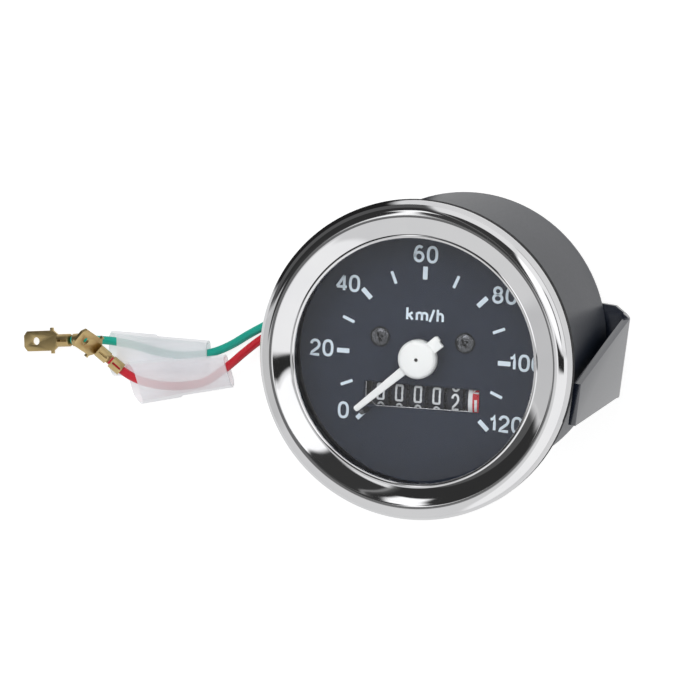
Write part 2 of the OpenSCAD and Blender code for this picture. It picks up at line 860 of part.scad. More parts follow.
// Number drum: carry disc on its left, rim in the middle, toothed ring on its right
module drum(k) {
    last = k == drum_n - 1;
    translate([drum_x(k), -drums_y, z_drum])
        along_x()
            difference() {
                union() {
                    translate([0, 0, -rim_w / 2])
                        cylinder(r = drum_r, h = rim_w);
                    translate([0, 0, -rim_w / 2 - side_w]) {
                        cylinder(r = disc_r, h = side_w + eps);
                        linear_extrude(height = side_w + eps)
                            for (a = [-9, 9])
                                rotate(pinion_dir + 180 + a)
                                    translate([disc_r - 0.3, -0.3])
                                        square([0.6, 0.6]);
                    }
                    if (!last)
                        translate([0, 0, rim_w / 2 - eps])
                            linear_extrude(height = side_w + eps)
                                rotate(pinion_dir + 180 / ring_teeth)
                                    toothed(ring_teeth, ring_r - 0.5, ring_r + 0.4, 0.85, 0.4);
                }
                cylinder(r = odo_shaft_r + (last ? 0 : run_gap), h = drum_pitch + 2, center = true);
            }
}

// Carry pinion: eight teeth on the left for the toothed ring, every other one on the right for the carry disc
module pinion(k) {
    root_r = pinion_pitch_r - 0.55;
    tip_r = pinion_pitch_r + 0.35;
    half_w = side_w - 0.02;
    translate([drum_x(k) + drum_pitch / 2, pinion_y, pinion_z])
        along_x()
            difference() {
                translate([0, 0, -half_w])
                    union() {
                        linear_extrude(height = 2 * half_w)
                            rotate(pinion_dir + 180 + 45)
                                toothed(pinion_teeth / 2, root_r, tip_r, 0.75, 0.3);
                        linear_extrude(height = half_w)
                            rotate(pinion_dir + 180)
                                toothed(pinion_teeth / 2, root_r + 0.1, tip_r, 0.7, 0.3);
                    }
                cylinder(r = pinion_shaft_r + run_gap, h = 4, center = true, $fn = 48);
            }
}

module drum_1() { color("dimgray") drum(0); }
module drum_2() { color("dimgray") drum(1); }
module drum_3() { color("dimgray") drum(2); }
module drum_4() { color("dimgray") drum(3); }
module drum_5() { color("dimgray") drum(4); }
module drum_6() { color("firebrick") drum(5); }
module pinion_1() { color("ivory") pinion(0); }
module pinion_2() { color("ivory") pinion(1); }
module pinion_3() { color("ivory") pinion(2); }
module pinion_4() { color("ivory") pinion(3); }
module pinion_5() { color("ivory") pinion(4); }

module pinion_shaft() {
    color("lightgray")
        translate([cheek_left, pinion_y, pinion_z])
            along_x()
                cylinder(r = pinion_shaft_r, h = cheek_mid + cheek_t - cheek_left, $fn = 48);
}

// U bracket in one blank: back plate with cut corners, legs with a straight and a slanting edge
module bracket() {
    z_plate = z_back - bracket_t;
    bend = 1.8;
    u_path = concat(
        [[leg_lean - leg_out, z_leg_end]],
        arc([-leg_out + bend, z_plate + bend], bend, 180, 270, 5),
        arc([leg_out - bend, z_plate + bend], bend, -90, 0, 5),
        [[leg_out - leg_lean, z_leg_end]]);
    color([0.3, 0.3, 0.33])
        rotate(bracket_turn)
            difference() {
                intersection() {
                    rotate([90, 0, 0])
                        linear_extrude(height = plate_w, center = true)
                            sheet(u_path, bracket_t);
                    linear_extrude(height = 100)
                        polygon([for (p = [[-1, -1], [1, -1], [1, 1], [-1, 1]])
                            each let(a = [p[0] * (leg_out - 3.5), p[1] * plate_w / 2],
                                b = [p[0] * (leg_out + 0.2), p[1] * leg_w / 2])
                            p[0] * p[1] > 0 ? [b, a] : [a, b]]);
                    rotate([90, 0, 90])
                        linear_extrude(height = 100, center = true)
                            polygon([[-plate_w, 0], [plate_w, 0], [plate_w, z_back + 1],
                                [leg_w / 2, z_back + 1], [leg_tip_w - leg_w / 2, z_leg_end + 1],
                                [-leg_w / 2, z_leg_end + 1], [-leg_w / 2, z_back + 1],
                                [-plate_w, z_back + 1]]);
                }
                cylinder(r = flange_r + 0.4, h = z_back + 1);
                for (s = [-1, 1])
                    translate([s * stud_pcd / 2, 0, 0])
                        cylinder(r = stud_r + 0.25, h = z_back + 1);
            }
}

module studs() {
    color("silver")
        at_studs()
            union() {
                translate([0, 0, 0.5])
                    cylinder(r = stud_r, h = z_base - 0.5);
                cylinder(r1 = stud_r - 0.5, r2 = stud_r, h = 0.5 + eps);
            }
}

module stud_nuts() {
    color("silver")
        at_studs()
            translate([0, 0, z_back - bracket_t - washer_t - nut_h])
                difference() {
                    cylinder(r = nut_af / sqrt(3), h = nut_h, $fn = 6);
                    translate([0, 0, -1])
                        cylinder(r = stud_r, h = nut_h + 2, $fn = 96);
                }
}

module stud_washers() {
    color("silver")
        at_studs()
            translate([0, 0, z_back - bracket_t - washer_t])
                ring(washer_r, stud_r + 0.2, washer_t);
}

// Rubber plug of the lamp, squeezed into the hole in the casing back
module lamp_holder() {
    lip = 0.8;
    color("black")
        translate([lamp_x, lamp_y, 0])
            difference() {
                rotate_extrude()
                    polygon([[0, z_back - holder_h], [holder_r - 1.4, z_back - holder_h],
                        [holder_r - 0.9, z_back - 1.6], [holder_r, z_back - 1.6], [holder_r, z_back],
                        [lamp_hole_r, z_back], [lamp_hole_r, z_floor], [lamp_hole_r + lip, z_floor],
                        [lamp_hole_r + 0.2, z_floor + 1.8], [0, z_floor + 1.8]]);
                translate([0, 0, z_back - holder_h + 1.6])
                    cylinder(r = contact_r, h = 20);
                for (p = [green_route[0], red_route[0]])
                    translate([p[0] - lamp_x, p[1] - lamp_y, z_back - holder_h - 1])
                        cylinder(r = wire_d / 2 - 0.1, h = 4, $fn = 24);
            }
}

module lamp_contact() {
    color("silver")
        translate([lamp_x, lamp_y, z_back - holder_h + 1.6])
            difference() {
                cylinder(r = contact_r, h = contact_len);
                translate([0, 0, 1])
                    cylinder(r = bulb_r + 0.1, h = contact_len);
            }
}

module bulb() {
    bulb_len = 14;
    z_cap = z_back - holder_h + 2.9;
    color([0.95, 0.95, 0.9, 0.6])
        translate([lamp_x, lamp_y, 0]) {
            translate([0, 0, z_cap])
                cylinder(r = bulb_r, h = bulb_len);
            translate([0, 0, z_cap + bulb_len])
                sphere(r = bulb_r, $fn = 48);
        }
}

// Insulated wire: an eight-sided tube swept through the route's points, one ring of corners a point
module wire(route) {
    n = 8;
    last = len(route) - 1;
    function ahead(i) = unit(route[min(i + 1, last)] - route[max(i - 1, 0)]);
    function across(d) = unit(cross(d, abs(d[2]) > 0.9 ? [0.44, 0.9, 0] : [0, 0, 1]));
    points = [for (i = [0:last])
        let(d = ahead(i), u = across(d), v = cross(d, u))
        for (a = [22.5:360 / n:360])
            route[i] + wire_d / 2 * (u * cos(a) + v * sin(a))];
    ends = [[for (j = [0:n - 1]) j], [for (j = [n - 1:-1:0]) last * n + j]];
    polyhedron(points = points, faces = concat(walls(last + 1, n, false), ends));
}

module wire_green() { color("teal") wire(green_route); }
module wire_red() { color("crimson") wire(red_route); }

// Crimped blade terminal, drawn along X from the back of its wire crimp, its tab bent up at the neck
module terminal(bend) {
    crimp_r = wire_d / 2 + 0.5;
    crimp_len = 2.9;
    nub = 0.65;
    neck_x = 7.2;
    tab_x = 1.4;
    tab_end = 8.8;
    hole_r = 0.9;
    difference() {
        union() {
            for (x = [0, crimp_len + 1])
                translate([x, 0, 0])
                    rotate([0, 90, 0])
                        cylinder(r = crimp_r, h = crimp_len, $fn = 32);
            translate([0, -1.1, -crimp_r])
                cube([neck_x + 0.3, 2.2, tab_t]);
        }
        translate([-1, 0, 0])
            rotate([0, 90, 0])
                cylinder(r = wire_d / 2 - 0.1, h = crimp_len + 1.5, $fn = 32);
        translate([0.3, -0.25, 0])
            cube([crimp_len - 0.6, 0.5, 4]);
        translate([crimp_len + 1.3, -0.25, 0])
            cube([crimp_len - 0.6, 0.5, 4]);
    }
    translate([neck_x, 0, -crimp_r])
        rotate([0, -bend, 0])
            difference() {
                linear_extrude(height = tab_t)
                    polygon([[0, -1.1], [tab_x, -tab_w / 2], [tab_x, -tab_w / 2 - nub],
                        [tab_x + nub, -tab_w / 2 - nub], [tab_x + nub, -tab_w / 2],
                        [tab_end - 0.8, -tab_w / 2], [tab_end, -tab_w / 2 + 1], [tab_end, tab_w / 2 - 1],
                        [tab_end - 0.8, tab_w / 2], [tab_x + nub, tab_w / 2],
                        [tab_x + nub, tab_w / 2 + nub], [tab_x, tab_w / 2 + nub], [tab_x, tab_w / 2],
                        [0, 1.1]]);
                translate([tab_end - 3, 0, -1])
                    cylinder(r = hole_r, h = tab_t + 2, $fn = 32);
            }
}

// The last stretch of a route is the wire's end inside the crimp
module terminal_at(route, tip) {
    last = len(route) - 1;
    d = unit(route[last] - route[last - 1]);
    color("darkgoldenrod")
        translate(route[last - 1])
            rotate([tip[0], -asin(d[2]), atan2(d[1], d[0])])
                terminal(tip[1]);
}

module terminal_green() { terminal_at(green_route, green_tip); }
module terminal_red() { terminal_at(red_route, red_tip); }

// Flattened soft sleeve, wider at its slanting mouth, pushed back along the wire
module sleeve(at, turn) {
    n = 24;
    wall = 0.5;
    rear_w = 8.6;
    rear_h = 3.6;
    mouth_w = 10.3;
    mouth_h = 4.2;
    step = 0.35;
    step_x = sleeve_len * 0.5;
    slant = 3.4;
    function across(x) = rear_w + (mouth_w - rear_w) * x / sleeve_len;
    function tall(x) = rear_h + (mouth_h - rear_h) * x / sleeve_len;
    // Oval at x, shrunk by t all round, its top cut back by s
    function oval(x, t, s) = let(r = tall(x) / 2 - t, c = across(x) / 2 - t - r)
        [for (j = [0:n - 1])
            let(a = (j + 0.5) * 360 / n)
            [x - s * (1 + sin(a)) / 2, sign(cos(a)) * c + r * cos(a), t + r + r * sin(a)]];
    rows = concat(oval(0, step, 0), oval(step_x, step, 0), oval(step_x + 0.3, 0, 0),
        oval(sleeve_len, 0, slant), oval(sleeve_len, wall, slant), oval(step_x, wall + step, 0),
        oval(0, wall + step, 0));
    translate(at)
        rotate(turn)
            polyhedron(points = rows, faces = walls(7, n, true));
}

module sleeve_green() { color([0.9, 0.92, 0.95, 0.8]) sleeve(green_sleeve_at, green_sleeve_turn); }
module sleeve_red() { color([0.95, 0.9, 0.92, 0.8]) sleeve(red_sleeve_at, red_sleeve_turn); }

bezel();
lens();
lens_seal();
spacer_ring();
panel_gasket();
casing();
dial();
dial_screws();
dial_posts();
stop_pin();
pointer();
pointer_spindle();
speed_cup();
hairspring();
hairspring_lever();
magnet();
flux_ring();
drive_shaft();
drive_bush();
drive_connector();
base_plate();
pillars();
bridge_plate();
bridge_screws();
cross_shaft();
cross_wheel();
cross_worm();
upright_shaft();
upright_wheel();
upright_worm();
odometer_frame();
odometer_wheel();
odometer_shaft();
drum_1();
drum_2();
drum_3();
drum_4();
drum_5();
drum_6();
pinion_shaft();
pinion_1();
pinion_2();
pinion_3();
pinion_4();
pinion_5();
bracket();
studs();
stud_nuts();
stud_washers();
lamp_holder();
lamp_contact();
bulb();
wire_green();
wire_red();
terminal_green();
terminal_red();
sleeve_green();
sleeve_red();
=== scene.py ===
import json
import math

import bpy
from mathutils import Matrix, Vector

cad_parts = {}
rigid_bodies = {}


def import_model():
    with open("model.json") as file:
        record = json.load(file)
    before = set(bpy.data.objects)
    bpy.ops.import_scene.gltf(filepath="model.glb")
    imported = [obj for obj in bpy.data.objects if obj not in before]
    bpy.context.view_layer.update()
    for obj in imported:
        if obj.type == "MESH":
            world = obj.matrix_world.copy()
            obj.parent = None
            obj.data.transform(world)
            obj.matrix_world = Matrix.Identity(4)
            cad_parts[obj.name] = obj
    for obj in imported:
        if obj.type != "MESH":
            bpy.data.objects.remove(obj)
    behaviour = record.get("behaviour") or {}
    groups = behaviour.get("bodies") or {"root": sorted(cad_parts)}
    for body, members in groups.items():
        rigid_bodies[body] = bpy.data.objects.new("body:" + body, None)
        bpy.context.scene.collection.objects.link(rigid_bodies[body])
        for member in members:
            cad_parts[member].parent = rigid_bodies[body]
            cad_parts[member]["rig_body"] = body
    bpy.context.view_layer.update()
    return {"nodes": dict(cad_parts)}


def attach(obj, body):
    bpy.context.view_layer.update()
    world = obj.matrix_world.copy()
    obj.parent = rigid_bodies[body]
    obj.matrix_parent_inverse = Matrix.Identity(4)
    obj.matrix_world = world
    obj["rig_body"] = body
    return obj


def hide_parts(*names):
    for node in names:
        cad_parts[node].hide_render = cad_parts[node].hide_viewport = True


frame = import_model()
mm = 0.001


# Casing cup: one deep-drawn sheet of steel with a rounded back edge and a flared rim, stoved in black satin enamel.
# The studs, the cable connector and the lamp holder come through its back.
def from_sight(red, green, blue):
    """A colour as it looks, 0 to 255, in the linear values that a shader takes."""
    return [(c / 255 / 12.92 if c < 10.3 else ((c / 255 + 0.055) / 1.055) ** 2.4) for c in (red, green, blue)] + [1]


def skin_group():
    """Fine unevenness of a surface: two tones, a roughness and a height, all from noise on Object coordinates."""
    group = bpy.data.node_groups.new("surface_skin", "ShaderNodeTree")
    for name, kind in (
        ("Tone", "NodeSocketColor"),
        ("Second tone", "NodeSocketColor"),
        ("Smooth", "NodeSocketFloat"),
        ("Rough", "NodeSocketFloat"),
        ("Grain per metre", "NodeSocketFloat"),
    ):
        group.interface.new_socket(name, in_out="INPUT", socket_type=kind)
    for name, kind in (("Color", "NodeSocketColor"), ("Roughness", "NodeSocketFloat"), ("Height", "NodeSocketFloat")):
        group.interface.new_socket(name, in_out="OUTPUT", socket_type=kind)
    nodes, links = group.nodes, group.links
    given = nodes.new("NodeGroupInput")
    result = nodes.new("NodeGroupOutput")
    place = nodes.new("ShaderNodeTexCoord")
    grain = nodes.new("ShaderNodeTexNoise")
    grain.inputs["Detail"].default_value = 4
    links.new(place.outputs["Object"], grain.inputs["Vector"])
    links.new(given.outputs["Grain per metre"], grain.inputs["Scale"])
    cloud = nodes.new("ShaderNodeTexNoise")
    cloud.inputs["Scale"].default_value = 90
    cloud.inputs["Detail"].default_value = 3
    links.new(place.outputs["Object"], cloud.inputs["Vector"])
    spread = nodes.new("ShaderNodeMapRange")
    spread.inputs["From Min"].default_value = 0.35
    spread.inputs["From Max"].default_value = 0.65
    links.new(cloud.outputs["Fac"], spread.inputs["Value"])
    tones = nodes.new("ShaderNodeMix")
    tones.data_type = "RGBA"
    links.new(spread.outputs["Result"], tones.inputs["Factor"])
    links.new(given.outputs["Tone"], tones.inputs["A"])
    links.new(given.outputs["Second tone"], tones.inputs["B"])
    links.new(tones.outputs["Result"], result.inputs["Color"])
    gloss = nodes.new("ShaderNodeMapRange")
    gloss.inputs["From Min"].default_value = 0.3
    gloss.inputs["From Max"].default_value = 0.7
    links.new(grain.outputs["Fac"], gloss.inputs["Value"])
    links.new(given.outputs["Smooth"], gloss.inputs["To Min"])
    links.new(given.outputs["Rough"], gloss.inputs["To Max"])
    links.new(gloss.outputs["Result"], result.inputs["Roughness"])
    links.new(grain.outputs["Fac"], result.inputs["Height"])
    return group


surface_skin = skin_group()
relief_depth = 0.05 * mm


def coating(name, tone, second, smooth, rough, grain, bump, metallic=0.0, **constants):
    """A surface whose tone, gloss and fine relief vary as surface_skin says."""
    material = bpy.data.materials.new(name)
    material.use_nodes = True
    nodes, links = material.node_tree.nodes, material.node_tree.links
    shader = nodes["Principled BSDF"]
    shader.inputs["Metallic"].default_value = metallic
    for socket, value in constants.items():
        shader.inputs[socket.replace("_", " ")].default_value = value
    skin = nodes.new("ShaderNodeGroup")
    skin.node_tree = surface_skin
    skin.inputs["Tone"].default_value = from_sight(*tone)
    skin.inputs["Second tone"].default_value = from_sight(*second)
    skin.inputs["Smooth"].default_value = smooth
    skin.inputs["Rough"].default_value = rough
    skin.inputs["Grain per metre"].default_value = grain
    relief = nodes.new("ShaderNodeBump")
    relief.inputs["Strength"].default_value = bump
    relief.inputs["Distance"].default_value = relief_depth
    links.new(skin.outputs["Color"], shader.inputs["Base Color"])
    links.new(skin.outputs["Roughness"], shader.inputs["Roughness"])
    links.new(skin.outputs["Height"], relief.inputs["Height"])
    links.new(relief.outputs["Normal"], shader.inputs["Normal"])
    return material


weld, flat_angle = 0.002 * mm, math.radians(0.3)


def finished(piece, material, body):
    """Gives a piece its surface and fastens it to its body."""
    piece.data.materials.clear()
    piece.data.materials.append(material)
    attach(piece, body)
    return piece


def cleaned_copy(node, material, edge=0.0, crease=30):
    """Copies a node's solid, welds its triangles, rounds its edges by edge millimetres and shades it smooth."""
    bpy.ops.object.select_all(action="DESELECT")
    solid = frame["nodes"][node]
    piece = bpy.data.objects.new(node + "_finished", solid.data.copy())
    bpy.context.collection.objects.link(piece)
    piece.select_set(True)
    bpy.context.view_layer.objects.active = piece
    bpy.ops.object.mode_set(mode="EDIT")
    bpy.ops.mesh.customdata_custom_splitnormals_clear()
    bpy.ops.mesh.select_all(action="SELECT")
    bpy.ops.mesh.remove_doubles(threshold=weld)
    bpy.ops.mesh.dissolve_limited(angle_limit=flat_angle)
    bpy.ops.object.mode_set(mode="OBJECT")
    if edge:
        rounding = piece.modifiers.new("edge", "BEVEL")
        rounding.width = edge * mm
        rounding.segments = 2
        rounding.limit_method = "ANGLE"
        rounding.angle_limit = math.radians(crease)
        bpy.ops.object.modifier_apply(modifier="edge")
    bpy.ops.object.shade_smooth_by_angle(angle=math.radians(crease))
    finished(piece, material, solid["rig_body"])
    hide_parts(node)
    return piece


enamel = coating("casing_enamel", (28, 34, 46), (30, 36, 48), 0.34, 0.36, 1500, 0.0, Specular_IOR_Level=0.18)
cleaned_copy("casing", enamel, edge=0.12)


# Cable connector: turned brass, nickelled, flanged against the casing back, with an M12 thread for the cable's nut.
# The bronze bush inside it carries the drive shaft, whose square socket takes the inner cable.
def turned(name, outline, at=(0, 0), steps=96, crease=30):
    """Draws an outline point by point, in millimetres out from the axis and up, and spins it about that axis."""
    bpy.ops.object.select_all(action="DESELECT")
    (r, z), *rest = outline
    bpy.ops.mesh.primitive_plane_add(size=mm, location=((at[0] + r) * mm, at[1] * mm, z * mm))
    piece = bpy.context.object
    piece.name = name
    bpy.ops.object.mode_set(mode="EDIT")
    bpy.ops.mesh.merge(type="CENTER")
    for r_next, z_next in rest:
        step = ((r_next - r) * mm, 0, (z_next - z) * mm)
        bpy.ops.mesh.extrude_region_move(TRANSFORM_OT_translate={"value": step})
        r, z = r_next, z_next
    bpy.ops.mesh.select_all(action="SELECT")
    bpy.ops.mesh.spin(steps=steps, angle=math.tau, center=(at[0] * mm, at[1] * mm, 0), axis=(0, 0, 1),
                      use_auto_merge=True)
    bpy.ops.mesh.select_all(action="SELECT")
    bpy.ops.mesh.remove_doubles(threshold=weld)
    bpy.ops.mesh.normals_make_consistent(inside=False)
    bpy.ops.object.mode_set(mode="OBJECT")
    bpy.ops.object.transform_apply(location=True, rotation=True, scale=True)
    bpy.ops.object.shade_smooth_by_angle(angle=math.radians(crease))
    return piece


def thread(z_from, z_to, crest_r, root_r, pitch):
    """The zigzag outline of a thread's ridges, from below upwards."""
    turns = int((z_to - z_from) / pitch)
    points = []
    for turn in range(turns):
        z = z_from + turn * pitch
        points += [(root_r, z), (crest_r, z + 0.4 * pitch), (crest_r, z + 0.55 * pitch)]
    return points + [(root_r, z_from + turns * pitch)]


nickel = coating("nickelled_brass", (205, 202, 192), (188, 184, 172), 0.18, 0.32, 800, 0.08, metallic=1.0)
bronze = coating("bronze_bush", (176, 132, 84), (150, 108, 66), 0.35, 0.5, 900, 0.1, metallic=1.0)
bright_steel = coating("bright_steel", (196, 198, 202), (170, 173, 178), 0.2, 0.34, 1100, 0.08, metallic=1.0)
connector = turned("cable_connector", [(3.3, 0), (5.2, 0), (5.6, 0.4)] + thread(0.8, 10.4, 6, 5.55, 1)
                   + [(5.3, 10.6), (5.3, 12), (7.75, 12), (8, 12.25), (8, 14.3), (6.8, 14.3), (6.8, 18.2), (3.6, 18.2),
                      (3.6, 9.2), (3.1, 9.2), (3.1, 5), (3.3, 5), (3.3, 0)])
finished(connector, nickel, "case")
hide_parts("drive_connector")
cleaned_copy("drive_bush", bronze, edge=0.1)
cleaned_copy("drive_shaft", bright_steel, edge=0.08)


# Studs: two M5 steel studs riveted into the base plate, zinc plated; each holds the bracket with a washer and a nut.
# They come out through the casing's back, and the instrument stands on their ends and on the connector.
zinc = coating("zinc_plate", (190, 192, 196), (170, 173, 180), 0.26, 0.42, 700, 0.12, metallic=1.0)
stud_reach, stud_turn = 20, math.radians(-5)
stud_outline = [(0, 0), (1.9, 0), (2.1, 0.3)] + thread(0.5, 11.7, 2.5, 2.1, 0.8) + [(2.5, 11.9), (2.5, 18.2), (0, 18.2)]
for side, name in ((-stud_reach, "left_stud"), (stud_reach, "right_stud")):
    stud = turned(name, stud_outline, at=(side * math.cos(stud_turn), side * math.sin(stud_turn)), steps=40)
    finished(stud, zinc, "case")
    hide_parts("studs")
cleaned_copy("stud_nuts", zinc, edge=0.3)
cleaned_copy("stud_washers", zinc, edge=0.12)


# Movement: die-cast base plate, three turned pillars and a stamped bridge plate with its screws carry the magnet, the
# iron flux ring, the speed cup on its spindle, and the hairspring that brings the needle back.
def dressed(material, *nodes):
    """Gives solids that keep their own shape a better surface."""
    for node in nodes:
        solid = frame["nodes"][node]
        solid.data.materials.clear()
        solid.data.materials.append(material)


cast_alloy = coating("cast_alloy", (168, 170, 172), (148, 150, 153), 0.38, 0.58, 600, 0.35, metallic=1.0)
turned_brass = coating("turned_brass", (196, 168, 98), (172, 144, 80), 0.22, 0.38, 900, 0.08, metallic=1.0)
magnet_grey = coating("magnet_grey", (88, 88, 92), (70, 70, 75), 0.5, 0.7, 900, 0.3, metallic=0.4)
soft_iron = coating("soft_iron", (112, 112, 116), (92, 92, 97), 0.4, 0.55, 900, 0.15, metallic=1.0)
aluminium = coating("thin_aluminium", (205, 207, 210), (188, 190, 194), 0.28, 0.4, 700, 0.1, metallic=1.0)
spring_bronze = coating("spring_bronze", (186, 146, 88), (168, 128, 74), 0.3, 0.42, 900, 0.05, metallic=1.0)
dressed(cast_alloy, "base_plate", "bridge_plate")
dressed(turned_brass, "pillars", "dial_posts")
dressed(magnet_grey, "magnet")
dressed(soft_iron, "flux_ring")
dressed(aluminium, "speed_cup")
dressed(bright_steel, "bridge_screws", "cross_shaft", "upright_shaft", "odometer_shaft", "pinion_shaft")
dressed(bright_steel, "pointer_spindle", "hairspring_lever")
dressed(spring_bronze, "hairspring")


# Gears of the odometer: three steel worms in line, each turning a moulded wheel of ten teeth. Five moulded carry
# pinions on a shaft of their own pass the count from drum to drum, in a cast frame.
gear_plastic = coating("gear_plastic", (222, 214, 190), (210, 202, 178), 0.35, 0.5, 500, 0.1)
dressed(bright_steel, "cross_worm", "upright_worm")
dressed(gear_plastic, "cross_wheel", "upright_wheel", "odometer_wheel")
dressed(gear_plastic, "pinion_1", "pinion_2", "pinion_3", "pinion_4", "pinion_5")
dressed(cast_alloy, "odometer_frame")


# Number drums: moulded plastic, five black and one red, with the numerals printed in cream all round their rims.
# Each numeral is a few strokes of paint that follow the rim; the next higher one comes from above.
def bow(x, y, r_x, r_y, start, end, points=12):
    """Points of an oval arc, in degrees from the right, counter-clockwise."""
    angles = [math.radians(start + (end - start) * i / points) for i in range(points + 1)]
    return [(x + r_x * math.cos(a), y + r_y * math.sin(a)) for a in angles]


def oval(x, y, r_x, r_y, square=2.0, points=28):
    """A closed oval; square over 2 fills its corners."""
    angles = [math.tau * i / points for i in range(points + 1)]
    return [
        (
            x + r_x * math.copysign(abs(math.cos(a)) ** (2 / square), math.cos(a)),
            y + r_y * math.copysign(abs(math.sin(a)) ** (2 / square), math.sin(a)),
        )
        for a in angles
    ]


# Each numeral's strokes, in a box of one by one about its middle.
numerals = {
    "0": [oval(0, 0, 0.5, 0.5, 2.5)],
    "1": [[(-0.34, 0.25), (-0.14, 0.26), (0.02, 0.33), (0.12, 0.5), (0.12, 0), (0.12, -0.5)]],
    "2": [bow(0, 0.22, 0.47, 0.28, 175, -25)
          + [(0.3, -0.02), (0, -0.17), (-0.35, -0.34), (-0.5, -0.5), (0, -0.5), (0.5, -0.5)]],
    "3": [bow(-0.02, 0.25, 0.45, 0.25, 160, -80) + bow(-0.02, -0.24, 0.5, 0.26, 80, -165)],
    "4": [[(0.24, -0.5), (0.24, 0), (0.24, 0.5)], [(0.24, 0.5), (-0.14, 0.1), (-0.5, -0.26)],
          [(-0.5, -0.26), (0, -0.26), (0.52, -0.26)]],
    "5": [[(0.42, 0.5), (0, 0.5), (-0.36, 0.5), (-0.4, 0.25), (-0.42, 0.02)] + bow(0, -0.18, 0.48, 0.32, 140, -155)],
    "6": [bow(0.04, 0.1, 0.44, 0.4, 50, 150) + bow(0.22, -0.1, 0.7, 0.55, 155, 195, 6), oval(0, -0.2, 0.47, 0.3)],
    "7": [[(-0.48, 0.5), (0, 0.5), (0.48, 0.5), (0.2, 0.15), (-0.02, -0.2), (-0.1, -0.5)]],
    "8": [oval(0, 0.26, 0.4, 0.24), oval(0, -0.24, 0.48, 0.26)],
    "9": [bow(-0.04, -0.1, 0.44, 0.4, 230, 330) + bow(-0.22, 0.1, 0.7, 0.55, -25, 15, 6), oval(0, 0.2, 0.47, 0.3)],
}


def painted(name, strokes, stroke_w, thick):
    """Paint laid in strokes of one width: each is a fine round line pressed flat, in millimetres on the XY plane."""
    line = bpy.data.curves.new(name, "CURVE")
    line.dimensions = "3D"
    line.bevel_depth = stroke_w / 2 * mm
    line.bevel_resolution = 1
    line.use_fill_caps = True
    for stroke in strokes:
        closed = (Vector(stroke[0]) - Vector(stroke[-1])).length < 0.001
        points = stroke[:-1] if closed else stroke
        spline = line.splines.new("POLY")
        spline.points.add(len(points) - 1)
        spline.use_cyclic_u = closed
        for point, (x, y) in zip(spline.points, points):
            point.co = (x * mm, y * mm, 0, 1)
    piece = bpy.data.objects.new(name, line)
    bpy.context.collection.objects.link(piece)
    bpy.ops.object.select_all(action="DESELECT")
    piece.select_set(True)
    bpy.context.view_layer.objects.active = piece
    bpy.ops.object.convert(target="MESH")
    piece.data.transform(Matrix.Diagonal((1, 1, 2 * thick / stroke_w, 1)))
    bpy.ops.object.shade_flat()
    return piece


def joined(name, pieces):
    """Several pieces as one."""
    bpy.ops.object.select_all(action="DESELECT")
    for piece in pieces:
        piece.select_set(True)
    bpy.context.view_layer.objects.active = pieces[0]
    bpy.ops.object.join()
    pieces[0].name = name
    return pieces[0]


drum_black = coating("drum_black", (30, 33, 42), (34, 37, 46), 0.5, 0.55, 1200, 0.05, Specular_IOR_Level=0.15)
drum_red = coating("drum_red", (196, 30, 46), (178, 24, 40), 0.4, 0.5, 1200, 0.1, Specular_IOR_Level=0.3)
cream_print = coating("cream_print", (226, 230, 234), (214, 218, 222), 0.5, 0.65, 2000, 0.1)
drum_r, drum_y, drum_z = 6.2, -8.2, 44.4
drums_x, drum_pitch = 1, 3.9
digit_turn, figure_thick, band_thick = math.radians(36), 0.04, 0.05
# The figure that faces straight out on each drum, from the left; a fraction is the way on to the next one.
shown = (-0.06, -0.06, -0.06, -0.06, 2.18, 1.29)


def rolled(sign, x, turn):
    """Bends flat paint round a drum's rim at x along its shaft, turned in radians."""
    for corner in sign.data.vertices:
        angle = corner.co.y / (drum_r * mm) + turn
        out = drum_r * mm + corner.co.z
        corner.co = (corner.co.x + x * mm, drum_y * mm + out * math.sin(angle), drum_z * mm + out * math.cos(angle))
    return sign


for drum, value in enumerate(shown, 1):
    node = f"drum_{drum}"
    cleaned_copy(node, drum_red if drum == 6 else drum_black)
    middle, wide, high, stroke_w = drums_x + (drum - 3.5) * drum_pitch, 1.29, 3.1, 0.46
    if drum == 6:
        middle, wide, high, stroke_w = 11.06, 1.15, 2.5, 0.34
    ring = []
    for digit in range(10):
        strokes = [[(x * wide, y * high) for x, y in stroke] for stroke in numerals[str(digit)]]
        if digit == 0:
            strokes = [oval(0, 0, 0.5 * wide, 0.5 * high, 9, 64)]
        elif digit == 1:
            strokes = [[(x, high * (i / 8 - 0.5)) for i in range(9)] for x in (-0.1 * wide, 0.1 * wide)]
        sign = painted(f"{node}_{digit}", strokes, stroke_w, figure_thick)
        ring.append(rolled(sign, middle, digit_turn * (digit - value)))
    finished(joined(f"{node}_numerals", ring), cream_print, frame["nodes"][node]["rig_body"])
round_rim = [(0, math.pi * drum_r * (i / 60 - 1)) for i in range(121)]
# The black band on the red drum's left edge is painted shade of the gap to the fifth drum; the pale band is the drum's
# own ring.
for name, middle, wide, paint in (
    ("drum_6_gap_shade_band", 9.2, 0.56, drum_black),
    ("drum_6_pale_band", 9.94, 0.9, cream_print),
):
    band = rolled(painted(name, [round_rim], wide, band_thick), middle, 0)
    finished(band, paint, frame["nodes"]["drum_6"]["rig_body"])


# Dial: aluminium sheet painted matt charcoal, its window edges chamfered, with the scale printed in pale grey.
# Two dark cross-recess screws hold it on the posts.
charcoal = coating("dial_paint", (39, 46, 61), (39, 46, 61), 0.6, 0.61, 3500, 0.0, Specular_IOR_Level=0.1)
scale_print = coating("scale_print", (222, 236, 247), (216, 230, 241), 0.5, 0.62, 2500, 0.06)
dressed(charcoal, "dial")
dial_z = 52.0
